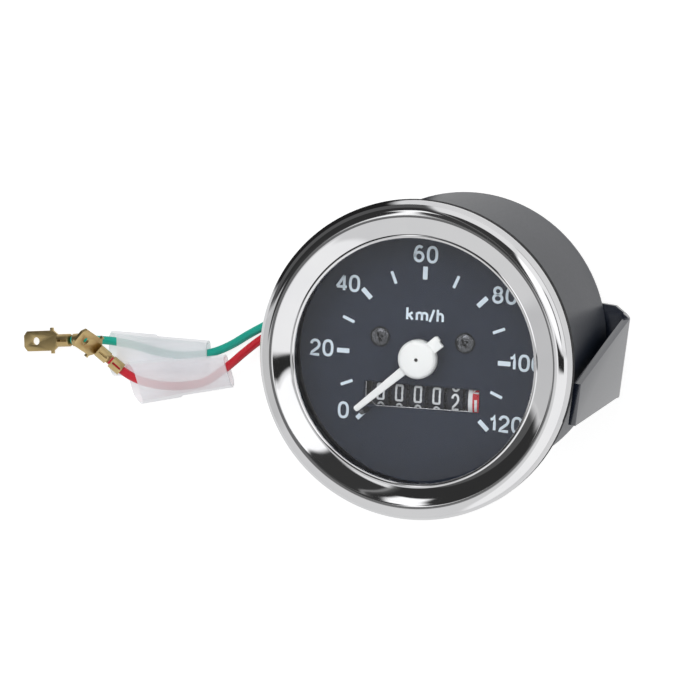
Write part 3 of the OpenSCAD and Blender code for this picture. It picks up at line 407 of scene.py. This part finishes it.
# Bright steel lines along the window's chamfered edges: bare metal, and partly a painted highlight of the chamfers.
wear_and_highlight_lines = [[(-11.4, -5.9), (-11.4, -9.2)], [(-10.1, -9.84), (-9.15, -10.65)],
              [(-9.15, -10.65), (0.6, -10.45), (10.45, -10.25)]]
window_edge = painted("window_edge_wear_and_highlight", wear_and_highlight_lines, 0.13, 0.02)
window_edge.data.transform(Matrix.Translation((0, 0, dial_z * mm)))
finished(window_edge, bright_steel, "case")
tick_corner, tick_thick, number_thick = 0.07, 0.04, 0.035


def tick(name, centre_r, length, width, degrees):
    """One mark of the scale: a thin printed bar with eased corners."""
    bpy.ops.object.select_all(action="DESELECT")
    bpy.ops.mesh.primitive_plane_add(size=mm, location=(centre_r * mm, 0, dial_z * mm))
    bar = bpy.context.object
    bar.name = name
    bpy.ops.transform.resize(value=(length, width, 1))
    bpy.ops.object.mode_set(mode="EDIT")
    bpy.ops.mesh.select_all(action="SELECT")
    bpy.ops.mesh.bevel(offset=tick_corner * mm, segments=2, affect="VERTICES")
    bpy.ops.mesh.select_all(action="SELECT")
    bpy.ops.mesh.extrude_region_move(TRANSFORM_OT_translate={"value": (0, 0, tick_thick * mm)})
    bpy.ops.mesh.select_all(action="SELECT")
    bpy.ops.mesh.normals_make_consistent(inside=False)
    bpy.ops.object.mode_set(mode="OBJECT")
    bpy.ops.object.transform_apply(location=True, rotation=True, scale=True)
    bar.rotation_euler.z = math.radians(degrees)
    bpy.ops.object.transform_apply(location=False, rotation=True, scale=False)
    return bar


speed_at_top, turn_per_km_h = 60, 2.25
marks = []
for speed in range(0, 121, 10):
    degrees = 90 + turn_per_km_h * (speed_at_top - speed)
    if speed == 0:
        marks.append(tick("tick_0", 17.6, 2.6, 0.9, 226))
    elif speed == 120:
        marks.append(tick("tick_120", 18.4, 2.6, 0.9, -44.2))
    elif speed % 20 == 0:
        marks.append(tick(f"tick_{speed}", 16.5 if speed == 20 else 16.9, 2.6, 0.95, degrees))
    else:
        marks.append(tick(f"tick_{speed}", 16.84, 2.62, 0.6, degrees))
finished(joined("scale_ticks", marks), scale_print, "case")


def lettering(name, sign, strokes, x, y, width, height, stroke_w):
    """One printed character, its middle at x and y on the dial."""
    inner_w, inner_h = width - stroke_w, height - stroke_w
    sizes = [[(px * inner_w, py * inner_h) for px, py in stroke] for stroke in strokes]
    piece = painted(f"{name}_{sign}", sizes, stroke_w, number_thick)
    piece.data.transform(Matrix.Translation((x * mm, y * mm, dial_z * mm)))
    return piece


number_w, four_w, number_h, number_stroke, unit_stroke = 2.35, 2.6, 3.5, 0.56, 0.48
# Each number's figures, by the x and y of their middles.
numbers = {
    "0": (-16.04, -12.15),
    "20": (-22.44, 0.2, -19.73, 0.25),
    "40": (-17.27, 13.71, -14.62, 13.74),
    "60": (-1.44, 20.69, 1.32, 20.66),
    "80": (15.02, 13.6, 17.75, 13.6),
    "100": (18.76, 0.5, 20.95, 0.4, 23.6, 0.4),
    "120": (15.24, -12.1, 17.4, -12.15, 20.05, -12.2),
}
signs = []
for number, places in numbers.items():
    for i, sign in enumerate(number):
        signs.append(lettering(f"number_{number}_{i}", sign, numerals[sign], places[2 * i], places[2 * i + 1],
                               four_w if sign == "4" else number_w, number_h, number_stroke))
# The unit's letters: strokes, x and y of the middle, width and height.
unit = {
    "k": ([[(-0.4, 0.5), (-0.4, 0), (-0.4, -0.5)], [(0.38, 0.12), (-0.36, -0.2)], [(-0.1, -0.1), (0.42, -0.5)]],
          -2.86, 8.55, 1.85, 2.86),
    "m": ([[(-0.5, 0.5), (-0.5, -0.5)], bow(-0.25, 0.2, 0.25, 0.3, 180, 0) + [(0, -0.5)],
           bow(0.25, 0.2, 0.25, 0.3, 180, 0) + [(0.5, -0.5)]], -0.35, 8.11, 2.6, 1.96),
    "slash": ([[(-0.5, -0.5), (0.5, 0.5)]], 1.7, 8.4, 1.3, 2.95),
    "h": ([[(-0.4, 0.5), (-0.4, 0), (-0.4, -0.5)], bow(0, -0.08, 0.4, 0.24, 180, 0) + [(0.4, -0.5)]],
          3.42, 8.53, 1.8, 2.86),
}
for sign, (strokes, x, y, width, height) in unit.items():
    signs.append(lettering("unit", sign, strokes, x, y, width, height, unit_stroke))
finished(joined("scale_numbers", signs), scale_print, "case")

blackened = coating("blackened_steel", (86, 88, 92), (74, 75, 79), 0.16, 0.26, 900, 0.05, metallic=1.0)
recess_foot_r, recess_r, recess_deep, recess_z, arm_width = 0.4, 1.75, 0.9, 52.8, 0.3


def cross_screw(name, x, y, turn):
    """Domed head with a tapered cross recess, its shank in the post."""
    shank = [(0, 48.2), (0.9, 48.2), (1, 48.3), (1, 52.0)]
    dome = [(1.85, 52.0), (2.0, 52.1), (2.03, 52.3), (1.95, 52.5), (1.7, 52.7), (1.3, 52.86), (0.8, 52.96), (0, 53.0)]
    head = turned(name, shank + dome, at=(x, y), steps=48)
    cutters = []
    for quarter in (0, 90):
        bpy.ops.mesh.primitive_cone_add(vertices=4, radius1=recess_foot_r * mm, radius2=recess_r * mm,
                                        depth=recess_deep * mm, location=(x * mm, y * mm, recess_z * mm),
                                        rotation=(0, 0, math.radians(45)))
        bpy.ops.object.transform_apply(location=False, rotation=True, scale=False)
        arm = bpy.context.object
        arm.scale = (1, arm_width, 1)
        arm.rotation_euler.z = math.radians(turn + quarter)
        bpy.ops.object.transform_apply(location=True, rotation=True, scale=True)
        cutters.append(arm)
    for cutter in cutters:
        cut = head.modifiers.new("recess", "BOOLEAN")
        cut.operation = "DIFFERENCE"
        cut.object = cutter
        cut.solver = "EXACT"
        bpy.context.view_layer.objects.active = head
        bpy.ops.object.modifier_apply(modifier="recess")
    for cutter in cutters:
        bpy.data.objects.remove(cutter)
    bpy.ops.object.select_all(action="DESELECT")
    head.select_set(True)
    bpy.context.view_layer.objects.active = head
    bpy.ops.object.shade_smooth_by_angle(angle=math.radians(30))
    finished(head, blackened, "case")
    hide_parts("dial_screws")


cross_screw("left_dial_screw", -8.8, 3.5, 20)
cross_screw("right_dial_screw", 8.8, 3.5, 35)
dressed(blackened, "stop_pin")


# Needle: one white moulding, a tapered blade, a domed boss with the spindle's pin hole, and a stepped tail.
# It is pressed on the steel spindle; the dark disc in the pin hole is painted shade of the hole.
needle_white = coating("needle_white", (240, 242, 242), (232, 235, 236), 0.35, 0.5, 800, 0.06)
# Dark paint for the needle's pin hole: painted shade.
pin_hole_painted_shade = coating("pin_hole_painted_shade", (46, 44, 42), (30, 30, 30), 0.5, 0.6, 900, 0.05)
needle_rest = math.radians(221.8)


def needle_bar(name, sections, z_low, z_high, soft):
    """A flat bar along X with its edges rounded: each section is a place and a width."""
    bpy.ops.object.select_all(action="DESELECT")
    (x, width), *rest = sections
    bpy.ops.mesh.primitive_plane_add(size=mm, location=(x * mm, 0, z_low * mm))
    bar = bpy.context.object
    bar.name = name
    bpy.ops.object.mode_set(mode="EDIT")
    bpy.ops.mesh.select_all(action="SELECT")
    bpy.ops.mesh.merge(type="CENTER")
    bpy.ops.transform.translate(value=(0, -width / 2 * mm, 0))
    bpy.ops.mesh.extrude_region_move(TRANSFORM_OT_translate={"value": (0, width * mm, 0)})
    bpy.ops.mesh.select_all(action="SELECT")
    for x_next, width_next in rest:
        bpy.ops.mesh.extrude_region_move(TRANSFORM_OT_translate={"value": ((x_next - x) * mm, 0, 0)})
        bpy.ops.transform.resize(value=(1, width_next / width, 1), center_override=(0, 0, 0))
        x, width = x_next, width_next
    bpy.ops.mesh.select_all(action="SELECT")
    bpy.ops.mesh.extrude_region_move(TRANSFORM_OT_translate={"value": (0, 0, (z_high - z_low) * mm)})
    bpy.ops.mesh.select_all(action="SELECT")
    bpy.ops.mesh.normals_make_consistent(inside=False)
    bpy.ops.object.mode_set(mode="OBJECT")
    bpy.ops.object.transform_apply(location=True, rotation=True, scale=True)
    rounding = bar.modifiers.new("edge", "BEVEL")
    rounding.width = soft * mm
    rounding.segments = 3
    rounding.limit_method = "ANGLE"
    bpy.ops.object.modifier_apply(modifier="edge")
    bpy.ops.object.shade_smooth_by_angle(angle=math.radians(40))
    return bar


blade = needle_bar("needle_blade", [(0, 2.0), (16.55, 1.2), (16.9, 0.75)], 55.0, 55.7, 0.12)
tail = needle_bar("needle_tail", [(-5.9, 2.6), (0, 2.6)], 55.0, 56.0, 0.16)
tail_step = needle_bar("needle_tail_step", [(-6.2, 1.1), (-5.7, 1.1)], 55.05, 55.9, 0.1)
tail_step.data.transform(Matrix.Translation((0, -0.55 * mm, 0)))
boss_outline = [(0.38, 55.4), (0.38, 56.6), (2.98, 56.6), (3.32, 56.55), (3.6, 56.4), (3.8, 56.17), (3.92, 55.9),
                (3.94, 54.6), (3.8, 54.4), (1.5, 54.4), (1.5, 52.6), (0.6, 52.6), (0.6, 55.4), (0.38, 55.4)]
boss = turned("needle_boss", boss_outline, crease=40)
for bar in (blade, tail, tail_step):
    bar.data.transform(Matrix.Rotation(needle_rest, 4, "Z"))
# A dark disc in the boss's pin hole: painted shade of the hole, not the spindle's end.
hole_shade_disc = turned("needle_pin_hole_shade", [(0, 55.9), (0.36, 55.9), (0.36, 56.4), (0.26, 56.5), (0, 56.5)], steps=24)
finished(hole_shade_disc, pin_hole_painted_shade, "needle")
needle = finished(joined("needle_moulding", [boss, blade, tail, tail_step]), needle_white, "needle")
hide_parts("pointer")


# Glass: a flat disc in a black rubber seal, held off the dial by a black spacer ring. A rubber gasket behind the bezel
# closes the joint between the instrument and its panel.
def clear_glass():
    """Plain glass that lets the lamps' light through to the dial."""
    material = bpy.data.materials.new("glass")
    material.use_nodes = True
    nodes, links = material.node_tree.nodes, material.node_tree.links
    shader = nodes["Principled BSDF"]
    shader.inputs["Base Color"].default_value = (1, 1, 1, 1)
    shader.inputs["Roughness"].default_value = 0
    shader.inputs["IOR"].default_value = 1.45
    shader.inputs["Transmission Weight"].default_value = 1
    clear = nodes.new("ShaderNodeBsdfTransparent")
    path = nodes.new("ShaderNodeLightPath")
    either = nodes.new("ShaderNodeMixShader")
    links.new(path.outputs["Is Shadow Ray"], either.inputs["Fac"])
    links.new(shader.outputs["BSDF"], either.inputs[1])
    links.new(clear.outputs["BSDF"], either.inputs[2])
    links.new(either.outputs["Shader"], nodes["Material Output"].inputs["Surface"])
    return material


rubber = coating("black_rubber", (26, 26, 28), (34, 34, 36), 0.6, 0.75, 900, 0.2, Specular_IOR_Level=0.15)
spacer_black = coating("spacer_black", (20, 20, 22), (26, 26, 28), 0.45, 0.6, 900, 0.12)
glass_outline = [(0, 57.2), (27.8, 57.2), (28, 57.4), (28, 58.5), (27.8, 58.7), (0, 58.7)]
glass = turned("speedometer_glass", glass_outline, steps=128)
finished(glass, clear_glass(), "case")
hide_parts("lens")
cleaned_copy("lens_seal", rubber)
cleaned_copy("spacer_ring", spacer_black)
gasket_outline = [(30.05, 57.4), (30.05, 56.1), (31.7, 56.1), (31.95, 56.3), (32.04, 56.5), (32.04, 58.05),
                  (31.95, 58.15), (31.6, 58.15), (31.6, 57.4), (30.05, 57.4)]
gasket = turned("gasket_ring", gasket_outline, steps=160)
finished(gasket, rubber, "case")
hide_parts("panel_gasket")


# Bezel: brass ring spun to its shape and chromed, rolled to a bead round the glass and crimped behind the casing rim.
# The crimp holds the glass, its seal and the spacer ring down.
chrome = coating("bright_chrome", (216, 216, 217), (212, 212, 214), 0.03, 0.06, 500, 0.01, metallic=1.0)
bezel_outer = (
    [(30.2, 57.5), (31.7, 57.5)]
    + bow(31.65, 57.85, 0.35, 0.35, -90, 0, 5)
    + bow(29.3, 58.6, 2.7, 2.7, 0, 90, 24)
    + bow(28.9, 60.1, 1.2, 1.2, 90, 112, 6)
    # The sloping face between the outer roll and the bead, a little domed.
    + [(28.34 - 2.97 * t - 0.24 * t * (1 - t), 61.16 - 1.41 * t + 0.5 * t * (1 - t))
       for t in (0.1, 0.2, 0.35, 0.5, 0.65, 0.8, 0.9)]
    + bow(25.05, 59.3, 0.55, 0.55, 55, 300, 28)
)
bezel_inner = (
    [(25.4, 58.95), (25.6, 59.3)]
    + bow(28.9, 60.1, 0.7, 0.7, 118, 90, 4)
    + bow(29.3, 58.6, 2.2, 2.2, 90, 0, 10)
    + [(31.5, 58.0), (30.2, 58.0), (30.2, 57.5)]
)
bezel = turned("bezel_ring", bezel_outer + bezel_inner, steps=160, crease=50)
finished(bezel, chrome, "case")
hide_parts("bezel")


# Bracket: one blank of steel sheet bent to a U behind the casing, its corners cut and its legs slanting, enamelled
# black. The two studs go through its back, and its legs press on the panel from behind.
bracket_black = coating("bracket_black", (30, 37, 52), (32, 39, 54), 0.24, 0.26, 1300, 0.005, Specular_IOR_Level=1.0,
                        Coat_Weight=1.0, Coat_Roughness=0.12)
cleaned_copy("bracket", bracket_black, edge=0.22, crease=40)


# Lamp: a rubber plug in the casing back holds a steel contact sleeve and the bulb, and lets the two leads out.
# It is pushed into its hole, and comes out again to change the bulb.
bulb_glass = coating("bulb_glass", (236, 236, 230), (228, 228, 222), 0.1, 0.2, 300, 0.02)
cleaned_copy("lamp_holder", rubber, edge=0.15)
dressed(zinc, "lamp_contact")
dressed(bulb_glass, "bulb")


# Leads: two stranded wires in green and red PVC, from the lamp holder round the casing's left side to their terminals.
# The routes are the solids' own, from inside the holder to the end of the terminal's crimp. Brass blade terminals are
# crimped on their ends, and milky sleeves are pushed back along them.
green_route = [[-6.5, 21, 9.9], [-6.5, 21, 6.6], [-7, 20.7, 4.7], [-8.3, 20, 2.8], [-10.5, 18.8, 1.5],
    [-13.5, 17.1, 0.9], [-19, 13.9, 0.9], [-25, 10.4, 0.9], [-31, 6.9, 0.9], [-37, 3.4, 0.9],
    [-43, -0.1, 0.9], [-49, -3.6, 0.9], [-54, -6.6, 0.9], [-58.6, -9.6, 1.2], [-62, -11.2, 1.75],
    [-66, -12.2, 1.8], [-70, -12.6, 1.8], [-75, -12.3, 1.9], [-80, -11.3, 2.1], [-85, -10.6, 2.5],
    [-89, -10.5, 2.7], [-92.6, -10.7, 2.7], [-96, -11.1, 2.5]]
red_route = [[-5.5, 19, 9.9], [-5.5, 19, 6.6], [-6, 18.7, 4.7], [-7.3, 18, 2.8], [-9.5, 16.8, 1.5],
    [-12.5, 15.1, 0.9], [-18, 11.9, 0.9], [-24, 8.45, 0.9], [-30, 5.05, 0.9], [-36, 1.6, 0.9],
    [-42, -1.85, 0.9], [-47, -4.8, 1.1], [-50.8, -7.4, 2.2], [-53.9, -10.2, 4.2], [-56.6, -12.9, 5.6],
    [-59.3, -15.1, 5.1], [-62.7, -17.5, 4.6], [-67, -18.8, 4.5], [-71.5, -19.3, 4.7], [-75.7, -19, 5.1],
    [-79.4, -18, 5.6], [-82.5, -16.3, 6], [-85, -14.2, 6.7]]
wire_r, holder_face_z = 0.95, 8.3


def lead(name, route, material, node):
    """A round insulated wire along its route, from the lamp holder to its terminal."""
    line = bpy.data.curves.new(name, "CURVE")
    line.dimensions = "3D"
    line.resolution_u = 6
    line.bevel_depth = wire_r * mm
    line.bevel_resolution = 5
    line.use_fill_caps = True
    spline = line.splines.new("BEZIER")
    spline.bezier_points.add(len(route) - 1)
    for point, place in zip(spline.bezier_points, route):
        point.co = Vector(place) * mm
        point.handle_left_type = point.handle_right_type = "AUTO"
    wire = bpy.data.objects.new(name, line)
    bpy.context.collection.objects.link(wire)
    finished(wire, material, "case")
    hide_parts(node)
    exit_at = Vector(route[0])
    exit_at.z = holder_face_z


green_pvc = coating("green_insulation", (20, 194, 170), (22, 182, 160), 0.32, 0.42, 900, 0.08)
red_pvc = coating("red_insulation", (218, 30, 50), (230, 38, 56), 0.32, 0.42, 900, 0.08)
brass_plate = coating("terminal_brass", (208, 186, 136), (186, 162, 112), 0.36, 0.48, 700, 0.04, metallic=1.0)


def milky():
    """Thin milky plastic: the wire inside shows through the wall that is nearer, and a faint white glow in it is
    painted light.
    """
    # The white emission is painted light: the sleeve glows faintly though it is no lamp.
    material = coating("sleeve_milky", (246, 246, 250), (240, 241, 246), 0.4, 0.5, 300, 0.05, Alpha=0.7,
                       Emission_Color=(0.96, 0.97, 1, 1), Emission_Strength=0.16)
    nodes, links = material.node_tree.nodes, material.node_tree.links
    clear = nodes.new("ShaderNodeBsdfTransparent")
    side = nodes.new("ShaderNodeNewGeometry")
    either = nodes.new("ShaderNodeMixShader")
    links.new(side.outputs["Backfacing"], either.inputs["Fac"])
    links.new(nodes["Principled BSDF"].outputs["BSDF"], either.inputs[1])
    links.new(clear.outputs["BSDF"], either.inputs[2])
    links.new(either.outputs["Shader"], nodes["Material Output"].inputs["Surface"])
    return material


sleeve_plastic = milky()
ends = [[cleaned_copy(f"terminal_{colour}", brass_plate, edge=0.07),
         cleaned_copy(f"sleeve_{colour}", sleeve_plastic, crease=50)] for colour in ("green", "red")]
lead("lead_green", green_route, green_pvc, "wire_green")
lead("lead_red", red_route, red_pvc, "wire_red")


# Studio: a pale floor, soft lamps and the camera at the photograph's angle. The floor turns white where it is seen,
# also in the chrome and through the glass, and keeps the object's shadow. The chrome sees it dark on the far left.
def fed(socket, value):
    """Gives a socket a plain number or another node's output."""
    if isinstance(value, (int, float)):
        socket.default_value = value
    else:
        links.new(value, socket)


def worked(operation, first, second):
    """One arithmetic step in the nodes of the floor or the world."""
    step = nodes.new("ShaderNodeMath")
    step.operation = operation
    step.use_clamp = operation == "MULTIPLY"
    fed(step.inputs[0], first)
    fed(step.inputs[1], second)
    return step.outputs["Value"]


def mixed(part, first, second):
    """The second value where part is 1, and the first where it is 0."""
    step = nodes.new("ShaderNodeMix")
    fed(step.inputs["Factor"], part)
    fed(step.inputs["A"], first)
    fed(step.inputs["B"], second)
    return step.outputs["Result"]


def between(value, low, high, blur):
    """1 where a value lies between two bounds, falling to 0 over a blur at each."""
    steps = []
    for start, end in ((low - blur, low + blur), (high + blur, high - blur)):
        step = nodes.new("ShaderNodeMapRange")
        step.interpolation_type = "SMOOTHSTEP"
        step.inputs["From Min"].default_value = start
        step.inputs["From Max"].default_value = end
        links.new(value, step.inputs["Value"])
        steps.append(step.outputs["Result"])
    return worked("MULTIPLY", *steps)


bpy.ops.object.select_all(action="DESELECT")
bpy.ops.mesh.primitive_plane_add(size=6, location=(0, 0, -0.2 * mm))
floor = bpy.context.object
floor.name = "floor"
pale = bpy.data.materials.new("floor_pale")
pale.use_nodes = True
nodes, links = pale.node_tree.nodes, pale.node_tree.links
matt = nodes["Principled BSDF"]
matt.inputs["Base Color"].default_value = (0.5, 0.5, 0.5, 1)
matt.inputs["Roughness"].default_value = 0.9
matt.inputs["Specular IOR Level"].default_value = 0.1
path = nodes.new("ShaderNodeLightPath")
white = nodes.new("ShaderNodeEmission")
glow = 0.0
for ray, strength in (("Is Glossy Ray", 0.55), ("Is Transmission Ray", 0.8), ("Is Camera Ray", 0.8)):
    glow = mixed(path.outputs[ray], glow, strength)
links.new(glow, white.inputs["Strength"])
both = nodes.new("ShaderNodeAddShader")
links.new(matt.outputs["BSDF"], both.inputs[0])
links.new(white.outputs["Emission"], both.inputs[1])
spot = nodes.new("ShaderNodeSeparateXYZ")
links.new(nodes.new("ShaderNodeTexCoord").outputs["Object"], spot.inputs["Vector"])
bearing = worked("ARCTAN2", spot.outputs["Y"], spot.outputs["X"])
far_left = between(bearing, math.radians(114), math.radians(170), 0.06)
unlit = nodes.new("ShaderNodeEmission")
unlit.inputs["Strength"].default_value = 0.02
dimmed = nodes.new("ShaderNodeMixShader")
links.new(worked("MULTIPLY", path.outputs["Is Glossy Ray"], far_left), dimmed.inputs["Fac"])
links.new(both.outputs["Shader"], dimmed.inputs[1])
links.new(unlit.outputs["Emission"], dimmed.inputs[2])
links.new(dimmed.outputs["Shader"], nodes["Material Output"].inputs["Surface"])
floor.data.materials.append(pale)


def softbox(name, place, width, height, watts):
    """A square lamp aimed at the dial, its own picture kept out of the chrome."""
    lamp = bpy.data.lights.new(name, "AREA")
    lamp.shape = "RECTANGLE"
    lamp.size, lamp.size_y, lamp.energy = width, height, watts
    box = bpy.data.objects.new(name, lamp)
    bpy.context.collection.objects.link(box)
    box.location = place
    box.visible_glossy = False
    box.rotation_euler = (Vector((0, 0, 0.05)) - Vector(place)).to_track_quat("-Z", "Y").to_euler()


softbox("top_lamp", (-0.1, 0.7, 1.0), 0.8, 0.6, 3.4)
softbox("left_lamp", (-1.0, -0.2, 0.6), 1.2, 1.0, 2.2)
softbox("right_lamp", (0.9, 0.3, 0.6), 0.4, 0.6, 1.3)

world = bpy.data.worlds.new("studio")
bpy.context.scene.world = world
world.use_nodes = True
nodes, links = world.node_tree.nodes, world.node_tree.links
toward = nodes.new("ShaderNodeSeparateXYZ")
links.new(nodes.new("ShaderNodeTexCoord").outputs["Generated"], toward.inputs["Vector"])
heading = worked("ARCTAN2", toward.outputs["Y"], toward.outputs["X"])


def panel(head_from, head_to, z_low, z_high):
    """A part of the studio's walls, by its heading in degrees and the height of the view to it."""
    return worked("MULTIPLY", between(heading, math.radians(head_from), math.radians(head_to), 0.05),
                  between(toward.outputs["Z"], z_low, z_high, 0.015))


def card(x_low, x_high, y_low, y_high):
    """A card overhead, by the two sideways parts of the view to it."""
    over = worked("MULTIPLY", between(toward.outputs["X"], x_low, x_high, 0.02),
                  between(toward.outputs["Y"], y_low, y_high, 0.02))
    return worked("MULTIPLY", over, between(toward.outputs["Z"], 0.5, 2, 0.01))


# What the chrome sees: bright and dark parts of the studio, each laid over those before it.
walls = 0.75
for seen, bright in (
    (panel(-150, 180, -0.3, 2), 0.88),
    (panel(-85, 0, -0.3, 2), 1.2),
    (panel(0, 56, -0.3, 2), 0.65),
    (panel(0, 56, 0.12, 2), 1.15),
    (panel(5, 32, 0.56, 0.7), 0.25),
    (panel(0, 56, 0.68, 2), 1.5),
    (panel(56, 100, -0.3, 0.68), 1.05),
    (panel(56, 100, 0.66, 2), 0.05),
    (panel(100, 177, -0.3, 2), 0.12),
    (panel(104, 177, 0.5, 0.94), 0.04),
    (panel(112, 130, 0.8, 0.9), 1.5),
    (card(-0.6, -0.33, -0.13, 0.1), 0.05),
    (card(-0.25, -0.1, -0.12, 0.4), 0.06),
    (card(-0.31, -0.26, -0.1, 0.4), 1.5),
    (card(-0.36, -0.21, -0.24, -0.08), 0.2),
    (card(0.2, 0.9, -0.145, -0.03), 0.03),
):
    walls = mixed(seen, walls, bright)
path = nodes.new("ShaderNodeLightPath")
# Matt surfaces get an even light from all round, and the background is white wherever it is seen.
light = 0.45
for ray, strength in (("Is Glossy Ray", walls), ("Is Camera Ray", 1), ("Is Transmission Ray", 1)):
    light = mixed(path.outputs[ray], light, strength)
links.new(light, nodes["Background"].inputs["Strength"])
nodes["Background"].inputs["Color"].default_value = (1, 1, 1, 1)

# The camera's place and axes, from the scale's ticks and the bezel's circles in the photograph.
camera_data = bpy.data.cameras.new("camera")
camera_data.sensor_width = 36
camera_data.lens = 144
camera_data.clip_start = 0.01
camera = bpy.data.objects.new("camera", camera_data)
bpy.context.collection.objects.link(camera)
camera_place = (0.14481, 0.08867, 0.58605)
right, up, back = (0.95571, 0.03507, -0.29221), (-0.07902, 0.98699, -0.14001), (0.28349, 0.15690, 0.94605)
camera.matrix_world = Matrix.Translation(camera_place) @ Matrix((right, up, back)).transposed().to_4x4()
bpy.context.scene.camera = camera
bpy.context.scene.view_settings.view_transform = "Standard"
